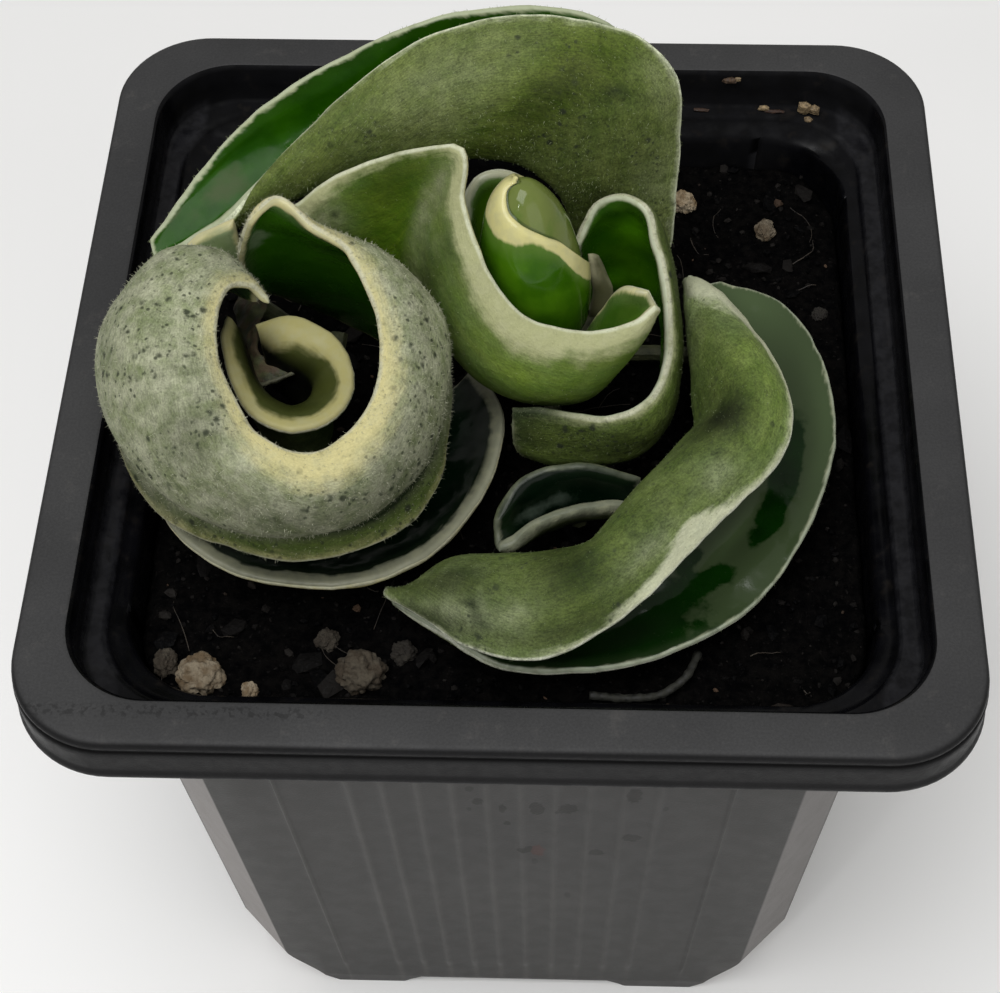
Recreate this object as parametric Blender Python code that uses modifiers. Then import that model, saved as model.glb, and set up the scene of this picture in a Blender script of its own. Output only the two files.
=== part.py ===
"""Hindu rope plant in its square nursery pot.

A young variegated hoya with thick leaves that fold and curl on themselves, in a
black plastic pot of 9 cm.  Sizes and places are in millimetres.  The origin is the
middle of the pot's base, +Z is up, -Y is the front and +X is the right.
"""
import math
import random

import bmesh
import bpy
import numpy as np
from mathutils import Matrix, Vector, noise

MM = 0.001
CLEAR = 0.3            # gap between pieces that touch

# Pot
POT_HEIGHT = 90.0
RIM_HALF = 45.0        # half the width over the rim
WALL_TOP_HALF = 37.2   # half the width of the body under the rim
WALL_FOOT_HALF = 33.8  # half the width of the body at its foot
WALL = 1.1             # plastic thickness of the body
FLOOR = 1.6            # plastic thickness of the floor
LIP_DEPTH = 6.0        # height of the turned-down lip
RIM_WIDTH = 4.2        # flat top of the rim
LEDGE_DEPTH = 5.0      # collar height above the inner ledge
LIP_WALL = 1.1         # plastic thickness of the lip
LEDGE_WIDTH = 2.2      # width of the inner ledge
RIM_EDGE = 0.6         # rounding of the rim's outer edge
INNER_EDGE = 0.3       # rounding of the rim's inner edge
RIM_CORNER = 9.6       # corner radius of the rim, outside
INNER_CORNER = 9.0     # corner radius inside the body
FLOOR_CORNER = 13.0    # corner radius inside, at the floor
CORNER_LEG = 5.9       # leg of the corner facets
FOOT_LEG = 9.5         # leg of the corner facets at the foot
FACET_FOOT = 10.3      # height where the corner facets start to slope in
FOOT_RISE = 2.0        # height of the arches between the feet
BASE_INSET = 2.8       # the floor plate stands this far inside the walls
CORNER_POINTS = 6      # points round each corner
RIB_COUNT = 10
RIB_PITCH = 3.65
RIB_TAPER = 0.88       # how far the ribs draw together towards the foot
RIB_RADIUS = 0.55
RIB_PROUD = 0.3
RIB_FOOT = 8.0         # height of the ribs' lower end
CREASE_PLACE = 24.2    # thin crease either side of the ribs
CREASE_RADIUS = 0.4
FEET_PLACE = 18.5
FOOT_LENGTH = 8.0      # length of a foot on the ground
FOOT_ROOT = 12.5       # length of a foot where it meets the wall
FOOT_DEPTH = 4.2
DRAIN_RADIUS = 3.0
DRAIN_PLACE = 22.0

# Potting mix
SOIL_TOP = 79.5
SOIL_ROUGH = 0.7       # height of the lumps
SOIL_RINGS = 9
SOIL_SEED = 7

# Leaves
BLADE = 1.5            # thickness of a blade along its middle
MARGIN = 0.55          # share of that thickness at the margin
MARGIN_BAND = 0.22     # share of the half width over which it thins

# Stems
STEM_RADIUS = 1.3
PETIOLE_RADIUS = 0.9
RUNNER_RADIUS = 0.4
STEM_HOLE_DEPTH = 9.0  # how deep the stems stand in the mix


# Scene helpers

def clear_scene():
    for thing in list(bpy.data.objects):
        bpy.data.objects.remove(thing, do_unlink=True)
    for group in list(bpy.data.collections):
        bpy.data.collections.remove(group)


def new_collection(name):
    group = bpy.data.collections.new(name)
    bpy.context.scene.collection.children.link(group)
    return group


def material(name, colour, roughness, metallic=0.0):
    """Principled material with a plain colour."""
    made = bpy.data.materials.new(name)
    made.use_nodes = True
    shader = made.node_tree.nodes["Principled BSDF"]
    shader.inputs["Base Color"].default_value = (*colour, 1.0)
    shader.inputs["Roughness"].default_value = roughness
    shader.inputs["Metallic"].default_value = metallic
    made.diffuse_color = (*colour, 1.0)
    return made


def add_object(name, mesh, finish, group):
    thing = bpy.data.objects.new(name, mesh)
    mesh.materials.append(finish)
    group.objects.link(thing)
    return thing


def mesh_from(bm, name):
    """Turn a bmesh in millimetres into a mesh in metres."""
    bmesh.ops.scale(bm, vec=(MM, MM, MM), verts=bm.verts)
    bmesh.ops.recalc_face_normals(bm, faces=bm.faces)
    mesh = bpy.data.meshes.new(name)
    bm.to_mesh(mesh)
    bm.free()
    return mesh


def apply_modifiers(thing):
    """Keep an object's evaluated mesh and drop its modifiers."""
    depsgraph = bpy.context.evaluated_depsgraph_get()
    mesh = bpy.data.meshes.new_from_object(thing.evaluated_get(depsgraph))
    thing.modifiers.clear()
    thing.data = mesh


def combine(thing, tools, operation, group):
    """Join the tools to a solid, or cut them from it, and drop them."""
    for tool in tools:
        group.objects.link(tool)
    step = thing.modifiers.new("combine", "BOOLEAN")
    step.operation = operation
    step.operand_type = "COLLECTION"
    step.collection = group
    step.solver = "EXACT"
    apply_modifiers(thing)
    for tool in tools:
        bpy.data.objects.remove(tool, do_unlink=True)


# Curves and surfaces through points

def through(knots, rows, places):
    """Read a smooth curve that passes through rows at knots, at the given places."""
    knots = np.asarray(knots, float)
    rows = np.asarray(rows, float)
    shape = rows.shape[1:]
    rows = rows.reshape(len(knots), -1)
    step = np.diff(knots)[:, None]
    slope = np.diff(rows, axis=0) / step
    lean = np.empty_like(rows)
    lean[0] = slope[0]
    lean[-1] = slope[-1]
    lean[1:-1] = (slope[:-1] * step[1:] + slope[1:] * step[:-1]) / (step[:-1] + step[1:])
    span = np.clip(np.searchsorted(knots, places, side="right") - 1, 0, len(knots) - 2)
    width = step[span]
    t = ((np.asarray(places) - knots[span])[:, None]) / width
    read = (rows[span] * (2 * t**3 - 3 * t**2 + 1)
            + rows[span + 1] * (3 * t**2 - 2 * t**3)
            + lean[span] * width * (t**3 - 2 * t**2 + t)
            + lean[span + 1] * width * (t**3 - t**2))
    return read.reshape((len(places),) + shape)


def chord_knots(net):
    """Knots from 0 to 1, spaced as the rows of a net are."""
    gaps = np.linalg.norm(np.diff(net, axis=0), axis=-1)
    if gaps.ndim > 1:
        gaps = gaps.mean(axis=1)
    knots = np.concatenate([[0.0], np.cumsum(gaps)])
    return knots / knots[-1]


def blade_grid(net, along, across):
    """Points of a smooth surface through a net, along its length and across it."""
    net = np.array(net, float)
    u = np.linspace(0.0, 1.0, along + 1)
    v = np.linspace(0.0, 1.0, across + 1)
    lengthwise = through(chord_knots(net), net, u)
    crosswise = lengthwise.transpose(1, 0, 2)
    across_knots = chord_knots(net.transpose(1, 0, 2))
    return through(across_knots, crosswise, v).transpose(1, 0, 2)


# Pot

def ring(half, leg, roundness, height):
    """One square outline with cut or rounded corners, as points in order."""
    points = []
    for quarter in range(4):
        turn = Matrix.Rotation(quarter * math.pi / 2, 3, "Z")
        for i in range(CORNER_POINTS):
            share = i / (CORNER_POINTS - 1)
            angle = share * math.pi / 2
            straight = Vector((half - leg * share, half - leg * (1 - share), height))
            arc = Vector((half - leg * (1 - math.cos(angle)),
                          half - leg * (1 - math.sin(angle)), height))
            points.append(turn @ straight.lerp(arc, roundness))
    return points


def loft(rings, name):
    """Closed solid through a stack of outlines, capped at both ends."""
    bm = bmesh.new()
    loops = [[bm.verts.new(point) for point in outline] for outline in rings]
    for low, high in zip(loops, loops[1:]):
        for i in range(len(low)):
            j = (i + 1) % len(low)
            bm.faces.new((low[i], low[j], high[j], high[i]))
    bm.faces.new(loops[0][::-1])
    bm.faces.new(loops[-1])
    return mesh_from(bm, name)


def wall_half(height):
    """Half the width of the body's outer face at a height."""
    share = height / (POT_HEIGHT - LIP_DEPTH)
    return WALL_FOOT_HALF + (WALL_TOP_HALF - WALL_FOOT_HALF) * share


def pot_rings():
    """Outlines up the outside, over the rim and down the inside."""
    lip_foot = POT_HEIGHT - LIP_DEPTH
    ledge = POT_HEIGHT - LEDGE_DEPTH
    inner = RIM_HALF - RIM_EDGE - RIM_WIDTH
    body = [
        ring(wall_half(0) - BASE_INSET, FOOT_LEG - 1, 0, 0),
        ring(wall_half(FOOT_RISE), FOOT_LEG, 0, FOOT_RISE),
        ring(wall_half(FACET_FOOT), CORNER_LEG, 0, FACET_FOOT),
        ring(WALL_TOP_HALF, CORNER_LEG, 0, lip_foot - 1),
    ]
    under_lip = [
        ring(inner + LIP_WALL - 0.2, RIM_CORNER - 2, 1, lip_foot),
        ring(inner + LIP_WALL, RIM_CORNER - 1.8, 1, POT_HEIGHT - LIP_WALL),
        ring(RIM_HALF - LIP_WALL - 0.2, RIM_CORNER - 0.7, 1, POT_HEIGHT - LIP_WALL - 0.1),
        ring(RIM_HALF - LIP_WALL + 0.1, RIM_CORNER - 0.6, 1, lip_foot),
    ]
    rim = [
        ring(RIM_HALF + 0.2, RIM_CORNER + 0.2, 1, lip_foot),
        ring(RIM_HALF, RIM_CORNER, 1, POT_HEIGHT - RIM_EDGE),
        ring(RIM_HALF - RIM_EDGE, RIM_CORNER - 0.4, 1, POT_HEIGHT),
        ring(inner, RIM_CORNER - 1.4, 1, POT_HEIGHT),
        ring(inner - INNER_EDGE, RIM_CORNER - 1.6, 1, POT_HEIGHT - INNER_EDGE),
        ring(inner - INNER_EDGE - 0.2, RIM_CORNER - 1.8, 1, ledge),
    ]
    inside = [
        ring(inner - LEDGE_WIDTH, INNER_CORNER, 1, ledge),
        ring(inner - LEDGE_WIDTH - 0.2, INNER_CORNER, 1, ledge - 0.8),
        ring(WALL_TOP_HALF - WALL, INNER_CORNER, 1, ledge - 1.6),
        ring(wall_half(FACET_FOOT) - WALL, INNER_CORNER, 1, FACET_FOOT + 0.5),
        ring(wall_half(FOOT_RISE) - WALL - 0.2, FLOOR_CORNER, 1, FOOT_RISE + FLOOR),
        ring(wall_half(0) - BASE_INSET - 0.2, FLOOR_CORNER, 1, FLOOR),
    ]
    return body + under_lip + rim + inside


def upright_bar(name, radius, low, high, sides):
    """Straight bar from one point to another."""
    low = Vector(low)
    high = Vector(high)
    reach = high - low
    bm = bmesh.new()
    bmesh.ops.create_cone(bm, cap_ends=True, segments=sides, radius1=radius, radius2=radius,
                          depth=reach.length)
    place = Matrix.Translation((low + high) / 2) @ reach.to_track_quat("Z", "Y").to_matrix().to_4x4()
    bmesh.ops.transform(bm, matrix=place, verts=bm.verts)
    return bpy.data.objects.new(name, mesh_from(bm, name))


def pot_ribs():
    """Upright ribs on each side, and the thin crease line either side of them."""
    first = -(RIB_COUNT - 1) / 2 * RIB_PITCH
    places = [(first + i * RIB_PITCH, RIB_RADIUS) for i in range(RIB_COUNT)]
    places += [(-CREASE_PLACE, CREASE_RADIUS), (CREASE_PLACE, CREASE_RADIUS)]
    top = POT_HEIGHT - LIP_DEPTH - 1.6
    bars = []
    for side in range(4):
        turn = Matrix.Rotation(side * math.pi / 2, 3, "Z")
        for across, radius in places:
            sunk = radius - RIB_PROUD
            low = turn @ Vector((across * RIB_TAPER, sunk - wall_half(RIB_FOOT), RIB_FOOT))
            high = turn @ Vector((across, sunk - wall_half(top), top))
            bars.append(upright_bar("rib", radius, low, high, 6))
    return bars


def pot_feet():
    """Two low feet under each wall, where the wall runs on down to the ground."""
    feet = []
    for side in range(4):
        turn = Matrix.Rotation(side * math.pi / 2, 4, "Z")
        for across in (-FEET_PLACE, FEET_PLACE):
            bm = bmesh.new()
            bmesh.ops.create_cube(bm, size=1.0)
            for vert in bm.verts:
                low = vert.co.z < 0
                front = vert.co.y < 0
                reach = FOOT_LENGTH if low else FOOT_ROOT
                out = wall_half(0) - 0.1 if low else wall_half(FOOT_RISE) - 0.15
                vert.co.x = across + math.copysign(reach / 2, vert.co.x)
                vert.co.y = -out if front else FOOT_DEPTH - out
                vert.co.z = 0 if low else FOOT_RISE + 0.6 if front else FLOOR / 2
            bmesh.ops.transform(bm, matrix=turn, verts=bm.verts)
            feet.append(bpy.data.objects.new("foot", mesh_from(bm, "foot")))
    return feet


def drain_cutters():
    return [upright_bar("drain", DRAIN_RADIUS, (x, y, -1.0), (x, y, FLOOR + 1.0), 16)
            for x in (-DRAIN_PLACE, DRAIN_PLACE) for y in (-DRAIN_PLACE, DRAIN_PLACE)]


def build_pot(parts, cutters):
    plastic = material("black_plastic", (0.045, 0.045, 0.047), 0.45)
    pot = add_object("pot", loft(pot_rings(), "pot"), plastic, parts)
    combine(pot, pot_ribs() + pot_feet(), "UNION", cutters)
    combine(pot, drain_cutters(), "DIFFERENCE", cutters)
    return pot


# Potting mix and perlite

GRAINS = [             # across, back, radius
    (-32.8, -31.0, 1.3), (-29.2, -32.2, 2.0), (-24.3, -33.7, 1.0), (-13.7, -31.6, 2.5),
    (-17.2, -28.0, 1.1), (-9.7, -29.1, 1.2), (18.5, 29.4, 1.5), (27.6, 25.3, 1.2),
    (33.2, 13.8, 0.9),
]


def soil_height(x, y):
    lumps = noise.noise(Vector((x * 0.21, y * 0.21, SOIL_SEED)))
    crumbs = noise.noise(Vector((x * 0.55, y * 0.55, SOIL_SEED + 5)))
    return SOIL_TOP + SOIL_ROUGH * (lumps + 0.5 * crumbs)


def soil_rings():
    """Outlines up the pot's inside, then inwards over the rough top."""
    gap = WALL + CLEAR
    top_half = wall_half(SOIL_TOP) - gap
    rings = [
        ring(wall_half(0) - BASE_INSET - 0.2 - CLEAR, FLOOR_CORNER, 1, FLOOR + CLEAR),
        ring(wall_half(FOOT_RISE) - gap - 0.3, FLOOR_CORNER, 1, FOOT_RISE + FLOOR + 0.4),
        ring(wall_half(FACET_FOOT) - gap, INNER_CORNER, 1, FACET_FOOT + 0.8),
    ]
    for i in range(SOIL_RINGS):
        share = 1 - i / SOIL_RINGS
        outline = ring(top_half * share, INNER_CORNER * share, 1, 0)
        rings.append([Vector((p.x, p.y, soil_height(p.x, p.y))) for p in outline])
    return rings


def grain(x, y, radius, swell, rng_seed):
    """Rough little ball of perlite, half sunk in the mix."""
    draw = random.Random(rng_seed)
    bm = bmesh.new()
    bmesh.ops.create_icosphere(bm, subdivisions=2, radius=1.0)
    squash = Vector((draw.uniform(0.85, 1.1), draw.uniform(0.85, 1.1), draw.uniform(0.7, 0.85)))
    for vert in bm.verts:
        lump = 1 + 0.16 * noise.noise(vert.co * 1.7 + Vector((rng_seed, 0, 0)))
        vert.co = vert.co * squash * (radius * lump + swell)
    centre = Vector((x, y, soil_height(x, y) + 0.25 * radius))
    bmesh.ops.translate(bm, vec=centre, verts=bm.verts)
    return mesh_from(bm, "grain")


def build_soil(parts, cutters, stem_feet):
    mix = material("potting_mix", (0.02, 0.017, 0.015), 0.95)
    pale = material("perlite", (0.62, 0.56, 0.46), 0.9)
    soil = add_object("soil", loft(soil_rings(), "soil"), mix, parts)
    sockets = []
    for number, (x, y, radius) in enumerate(GRAINS, 1):
        add_object(f"perlite_{number}", grain(x, y, radius, 0.0, number), pale, parts)
        sockets.append(bpy.data.objects.new("socket", grain(x, y, radius, CLEAR, number)))
    for x, y, radius in stem_feet:
        foot = (x, y, SOIL_TOP - STEM_HOLE_DEPTH - CLEAR)
        above = (x, y, SOIL_TOP + 4)
        sockets.append(upright_bar("hole", radius + CLEAR, foot, above, 12))
    combine(soil, sockets, "DIFFERENCE", cutters)
    return soil


# Leaves
# Each leaf is a net of points on the middle of its blade: one row for each station
# along the leaf, and in each row the points across it from margin to margin.

LEFT_CURL = [          # mouth margin, shoulder, belly, crease, lower margin
    [(-23.9, -1, 110.5), (-24.8, -0.6, 107.5), (-25.6, -0.1, 104.5), (-26, 0.8, 101), (-25.7, 1.3, 98)],
    [(-21.5, -0.5, 113), (-23.2, 0.4, 110), (-24, 1.4, 106), (-24.1, 2.2, 100), (-23.4, 3, 95)],
    [(-18, -2.5, 112), (-17.3, -0.8, 108.5), (-17, 1.8, 103.5), (-17.4, 2.6, 97), (-17.5, 3.2, 91)],
    [(-14.5, -5, 111), (-12.2, -4, 109.3), (-10.3, -2, 104), (-10.4, -1.2, 97), (-10.8, -1, 91)],
    [(-12.3, -8.7, 109.5), (-10, -7, 109), (-6.9, -5.3, 103), (-6.8, -4.9, 96), (-6.6, -4.3, 91)],
    [(-11, -14, 108), (-8.7, -13.5, 107.3), (-5.9, -12, 101.3), (-7, -11.2, 94.8), (-6.1, -11, 90.3)],
    [(-11.6, -18.7, 107), (-9.7, -19.5, 106), (-7.4, -19.2, 99.4), (-9, -16.5, 93.8), (-6.8, -17, 90)],
    [(-13.7, -21.8, 106), (-12.6, -23.6, 105), (-11.6, -24.3, 98.6), (-13, -21, 93), (-10.3, -21.8, 89.8)],
    [(-17, -23, 105), (-17.5, -25.3, 103.7), (-18, -26.7, 98.2), (-18.4, -22.7, 92.8), (-18.6, -24.8, 89.3)],
    [(-20.8, -21.7, 105), (-22.5, -24, 104.3), (-24, -26, 97.9), (-24.4, -22.3, 92.6), (-25, -23.7, 89.4)],
    [(-24, -17.6, 105.8), (-28, -19.5, 106), (-32, -21.3, 98.8), (-32, -18.5, 93), (-33.2, -20, 90)],
    [(-26, -12.8, 106.4), (-31.8, -13.5, 107.4), (-37, -13.5, 101), (-37, -12.6, 95), (-37.6, -12.3, 91.8)],
    [(-26.2, -8.5, 107), (-32, -7, 107.7), (-37.3, -5.5, 101.8), (-38, -4.5, 97), (-37.6, -4, 93.5)],
    [(-25.3, -5.9, 107), (-29.5, -3, 107.6), (-33.6, 0.2, 102.5), (-34, 1.5, 98), (-33.3, 2, 94.5)],
    [(-23.8, -5.2, 106), (-25.8, -2.9, 106.5), (-28.2, 0.2, 104), (-28.5, 1, 100.5), (-28, 1, 98)],
    [(-22.3, -5.6, 104.3), (-22.9, -4.9, 104.4), (-23.7, -4, 103.8), (-23.9, -3.7, 102.8), (-23.9, -3.7, 102)],
]

SAUCER = [             # outer margin, inner edge of the pale band, middle, inner margin
    [(-34.5, -16.3, 88), (-33.3, -16, 87.2), (-31.8, -15.5, 86.7), (-30.8, -15, 86.7)],
    [(-31.7, -21, 87.8), (-29.5, -19.5, 86.5), (-26.7, -17.5, 85.6), (-24, -15.5, 85.6)],
    [(-26.3, -24.9, 87.5), (-25, -22.6, 85.9), (-23.2, -19.3, 84.9), (-21.5, -16.5, 84.9)],
    [(-19.1, -26.3, 87.3), (-18.9, -23.8, 85.6), (-18.5, -20.5, 84.5), (-18, -17, 84.5)],
    [(-12.5, -25.6, 87.3), (-13, -23.2, 85.6), (-13.8, -20, 84.4), (-14.5, -16.8, 84.4)],
    [(-7, -22.4, 87.3), (-8.3, -20.5, 85.6), (-10.3, -18.2, 84.4), (-12, -15.5, 84.4)],
    [(-2.6, -16.3, 87.3), (-4.8, -15.4, 85.6), (-8, -14.3, 84.4), (-10.8, -13.3, 84.4)],
    [(-0.6, -9.3, 87.3), (-3.3, -9.3, 85.5), (-7, -9.8, 84.2), (-10.3, -10.3, 84.2)],
    [(-1, -3.5, 86.3), (-3.6, -4.3, 84.9), (-7, -5.5, 83.9), (-10.3, -7, 84)],
    [(-4, 1.3, 85.5), (-5.3, 0.1, 84.5), (-7.3, -1.6, 84), (-9.5, -3.5, 84)],
]

INNER_CURL = [         # outer margin, inner edge of the pale band, lip, wall, foot
    [(-26.7, -4.6, 101), (-26.3, -4.9, 100), (-25.9, -5, 98), (-25.6, -5.2, 95.5), (-25.4, -5.4, 93)],
    [(-26.7, -8.6, 102), (-25.4, -9.4, 101), (-24.9, -9.4, 99.3), (-24.5, -9.5, 95.5), (-24.3, -9.6, 91)],
    [(-25.1, -13.5, 102), (-24.1, -12.9, 101), (-23.5, -12.2, 99.3), (-23.2, -12, 95.5), (-23, -11.9, 91)],
    [(-22.7, -17.3, 102), (-22.2, -15.4, 101), (-21.9, -13.8, 99.3), (-21.6, -13.4, 95.5), (-21.5, -13.2, 91)],
    [(-18.8, -18.8, 102), (-19.3, -16.6, 101), (-19.7, -14.7, 99.3), (-19.7, -14, 95.5), (-19.7, -13.8, 91)],
    [(-15.9, -17.6, 102), (-16.9, -15.8, 101), (-18, -13.9, 99.3), (-18.2, -13.3, 95.5), (-18.2, -13.1, 91)],
    [(-13.8, -13.3, 102), (-15.3, -12.4, 101), (-17.2, -11.3, 99.3), (-17.5, -11.2, 95.5), (-17.5, -11.2, 91)],
    [(-14.9, -9.2, 102), (-16.2, -9.7, 101), (-17.7, -9.9, 99.3), (-18, -10, 95.5), (-18, -10.1, 91)],
    [(-17.8, -6.3, 102), (-18.8, -8.2, 101), (-19.2, -8.6, 99.2), (-19.3, -8.7, 96), (-19.3, -8.7, 91.5)],
    [(-21.1, -5.1, 101.8), (-21.4, -7.1, 101), (-21.5, -7.6, 99.2), (-21.5, -7.8, 96), (-21.4, -7.9, 92.5)],
    [(-23.9, -5.9, 101.3), (-23.5, -6.7, 100.6), (-23.3, -7.2, 99), (-23.2, -7.4, 96.5), (-23.1, -7.6, 94)],
]

TOP_FOLD = [           # front margin, front half, fold, back half, back margin
    [(13.2, 14, 85.2), (11.8, 13.7, 84.8), (10.2, 14, 84.6), (11.2, 15.2, 84.8), (12.5, 15.9, 85.4)],
    [(16, 14.1, 89), (11.5, 13.4, 89.8), (7.4, 14, 90.8), (9.6, 16.3, 90.4), (13, 17.5, 90)],
    [(16.6, 14.2, 98), (11, 13.2, 98), (5.7, 13.9, 97.5), (9, 17, 98), (13.5, 19, 98.5)],
    [(16.6, 15.6, 106), (10.2, 13, 105.5), (3.4, 13.6, 101.8), (7.3, 18, 104), (13.5, 20.5, 106)],
    [(15.9, 16.4, 112.6), (8.5, 13, 111.3), (0.2, 13.8, 104), (4.5, 18.5, 108.3), (11.5, 21.3, 112)],
    [(12.4, 17.6, 116.3), (4, 13, 113.3), (-3, 13.7, 104.8), (0.5, 19, 110), (8, 21.8, 115)],
    [(6.5, 18.6, 117.6), (-0.5, 13, 113.8), (-6, 13.4, 105), (-3.5, 18.8, 110), (3, 22, 116)],
    [(-0.1, 18.8, 117.8), (-5.5, 12.8, 113.3), (-9.5, 12.9, 105), (-8, 18, 109.5), (-3, 21.2, 116.3)],
    [(-7.7, 17.3, 116.6), (-10.5, 12, 112), (-13, 12.3, 104.8), (-12.3, 17, 108.5), (-9.2, 20, 115.6)],
    [(-14.2, 14.8, 113.3), (-15.5, 11.2, 110), (-17, 11.5, 104), (-17, 16, 107), (-15.5, 19, 112.8)],
    [(-19.4, 12, 109.6), (-20.5, 9.7, 107), (-21, 10.3, 102.5), (-22, 15, 105), (-21.5, 17.2, 110)],
    [(-23.6, 9.5, 106.2), (-24.9, 7.9, 104), (-25.5, 9, 101), (-27.5, 13, 103), (-27.3, 15, 106)],
    [(-27.2, 6.8, 103), (-28.3, 6.5, 101.6), (-29.5, 7.4, 100), (-31, 10.5, 101.5), (-31.2, 11.7, 103)],
    [(-34.2, 3.9, 99.4), (-34.7, 4, 99), (-35.3, 4.5, 98.8), (-35.6, 5.2, 99.2), (-35.7, 5.8, 99.8)],
]

CUP = [                # upper margin, shoulder, belly, keel, inner margin
    [(-21, 7, 104), (-20.8, 6.3, 102.5), (-20.5, 5.8, 101), (-20.2, 5.6, 99.5), (-20, 5.6, 98)],
    [(-16.2, 7.5, 108), (-15.7, 5.8, 104.5), (-15.2, 5, 100.5), (-14.8, 5, 97), (-14.5, 5.3, 94)],
    [(-10.3, 7.5, 111), (-10.3, 5.7, 106.5), (-10.8, 4.4, 101.5), (-11, 4.2, 97), (-10.5, 5, 92)],
    [(-4.3, 5.5, 114), (-7, 4.4, 108.5), (-9.3, 3, 102), (-9, 2.7, 96), (-7, 3.7, 91)],
    [(-4, 2.5, 110), (-6.7, 1.5, 105.5), (-8.2, 0.6, 99.5), (-6.8, 0.8, 93), (-3.5, 2.5, 90)],
    [(-2.5, -1.1, 107), (-4.6, -2.4, 103.5), (-6, -2.6, 97.5), (-4.3, -1.5, 91.2), (-0.8, 1.2, 89.2)],
    [(-0.6, -3.4, 104), (-2, -5.2, 101.5), (-3, -5.6, 96), (-1.5, -3.8, 90.2), (1, 0.7, 88.7)],
    [(2.3, -5.1, 102), (1.8, -7.2, 100), (1.2, -7.8, 95), (2.3, -5, 89.7), (3.5, 0.3, 88.7)],
    [(6.1, -5.7, 101), (6.3, -8, 99), (6.5, -8, 94.5), (6.2, -5, 89.9), (6, 0.3, 89.6)],
    [(9.9, -5.4, 101), (10.4, -6.8, 99), (10.2, -6.3, 95.6), (9.2, -4, 92.3), (9.2, -0.3, 97.5)],
    [(12.6, -4.9, 102), (13.1, -5.2, 100.6), (12.4, -4.2, 98.6), (11.5, -2.6, 97.8), (11.2, -1.1, 102)],
    [(14.1, -3.9, 102.7), (14.4, -3.5, 102), (14.2, -3, 101.6), (13.9, -2.6, 101.9), (13.5, -2.3, 102.8)],
]

OUTER_CUP = [          # upper margin, shoulder, belly, lower margin
    [(6.5, 7.6, 98), (6.6, 8.2, 95), (7, 8.4, 91), (7.8, 8, 87)],
    [(8.8, 10.2, 101.5), (9, 10.8, 97), (9.5, 10.8, 92), (10.3, 10.2, 87)],
    [(11.2, 9.5, 103), (11.8, 10.5, 98.5), (12.3, 10.6, 93), (12.3, 10.2, 87)],
    [(13.2, 7.8, 103), (14.4, 8.7, 98.5), (15.2, 9, 93), (14.9, 8.6, 87)],
    [(14.2, 5.7, 101), (15.4, 6.2, 97), (16.1, 6.1, 92), (15.8, 5.9, 87)],
    [(15, 3.5, 99.5), (16, 3.5, 95.5), (16.4, 3.3, 91), (15.9, 3, 86.5)],
    [(15.6, 0, 97.5), (16.4, 0, 94), (16.5, 0.3, 90), (15.8, 0.5, 86)],
    [(15.7, -3.5, 96), (16.4, -3.6, 93), (16.4, -3.2, 89.5), (15.4, -2.5, 85.5)],
    [(15, -6.8, 95), (15.6, -7.4, 92), (15.5, -7, 88.5), (14.2, -5.5, 84.8)],
    [(13.5, -9.2, 94.5), (13.8, -9.9, 91.5), (13.6, -9.5, 88), (12.4, -8, 84.5)],
    [(10.2, -10.6, 94), (10.3, -11.2, 91), (10.2, -10.8, 87.5), (9.8, -9, 84.2)],
    [(7.3, -10.5, 94), (7.2, -11, 91), (7.2, -10.8, 87.5), (7, -9.2, 84.2)],
    [(4.3, -9.8, 93.8), (4.3, -10.6, 91), (4.3, -10.6, 87.5), (4.3, -9.2, 84.2)],
    [(0.6, -8.8, 92.8), (0.5, -9.7, 90.5), (0.7, -10, 88), (1.5, -9.4, 85.6)],
]

SIDE_FOLD = [          # upper margin, upper half, fold, lower half, lower margin
    [(18.1, 8.3, 92.5), (17.9, 8.8, 91.5), (18.2, 9.4, 90), (19.9, 10.6, 88.3), (21.6, 11.5, 87.5)],
    [(20.8, 4.5, 94.5), (18.8, 4.6, 94.6), (18.4, 4.3, 90.5), (22.5, 6.5, 86.2), (27, 10.8, 86.3)],
    [(23.6, -1.2, 96.3), (20.6, -0.6, 97.2), (18.7, -1.2, 91.5), (24.5, 0.8, 85.5), (30.8, 6.3, 86)],
    [(26.2, -7.5, 97.3), (22.3, -6.3, 99), (18.8, -6.7, 92), (25, -4.5, 85.3), (32.8, -0.5, 86)],
    [(27.2, -13.2, 97.3), (23, -11.5, 99.5), (18.7, -11.4, 92.5), (24.5, -11, 85.3), (33, -7, 86)],
    [(25.8, -17.5, 96.5), (21.5, -15.5, 99.3), (16.2, -15, 92.5), (22.5, -16.5, 85.2), (31.7, -13, 86)],
    [(22, -21.5, 95.3), (18, -19.3, 98.5), (13, -18.8, 92), (19, -21, 85), (29, -19.5, 86)],
    [(18, -25.5, 94), (14.5, -23, 97.3), (10.2, -22.2, 91), (15.5, -25, 84.6), (25.5, -24.8, 85)],
    [(13.6, -29.8, 92.3), (10.8, -26.5, 95.5), (7.3, -24.9, 90), (11.5, -28, 84.4), (20.5, -29.3, 85)],
    [(9, -33.3, 91), (6.8, -28.8, 94.3), (3.8, -24.9, 90), (7.5, -30, 84.3), (14, -32.4, 84.8)],
    [(3.5, -35.3, 89.8), (1.8, -30, 92.9), (-0.5, -24.7, 89.5), (2, -30.5, 84.2), (6.5, -33.8, 84.8)],
    [(-2.5, -33.8, 89), (-3.2, -29, 91), (-4.8, -24.2, 88), (-3, -29, 84.1), (0, -33.6, 85.2)],
    [(-7.5, -29.8, 87.7), (-8, -27.8, 88), (-8.6, -25.6, 85.8), (-7.4, -27.2, 84.2), (-5.8, -30, 85.3)],
    [(-11.3, -26.3, 85.4), (-11.4, -25.8, 85.3), (-11.4, -25.2, 84.6), (-11, -25.6, 84), (-10.6, -26.3, 84)],
]

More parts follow.
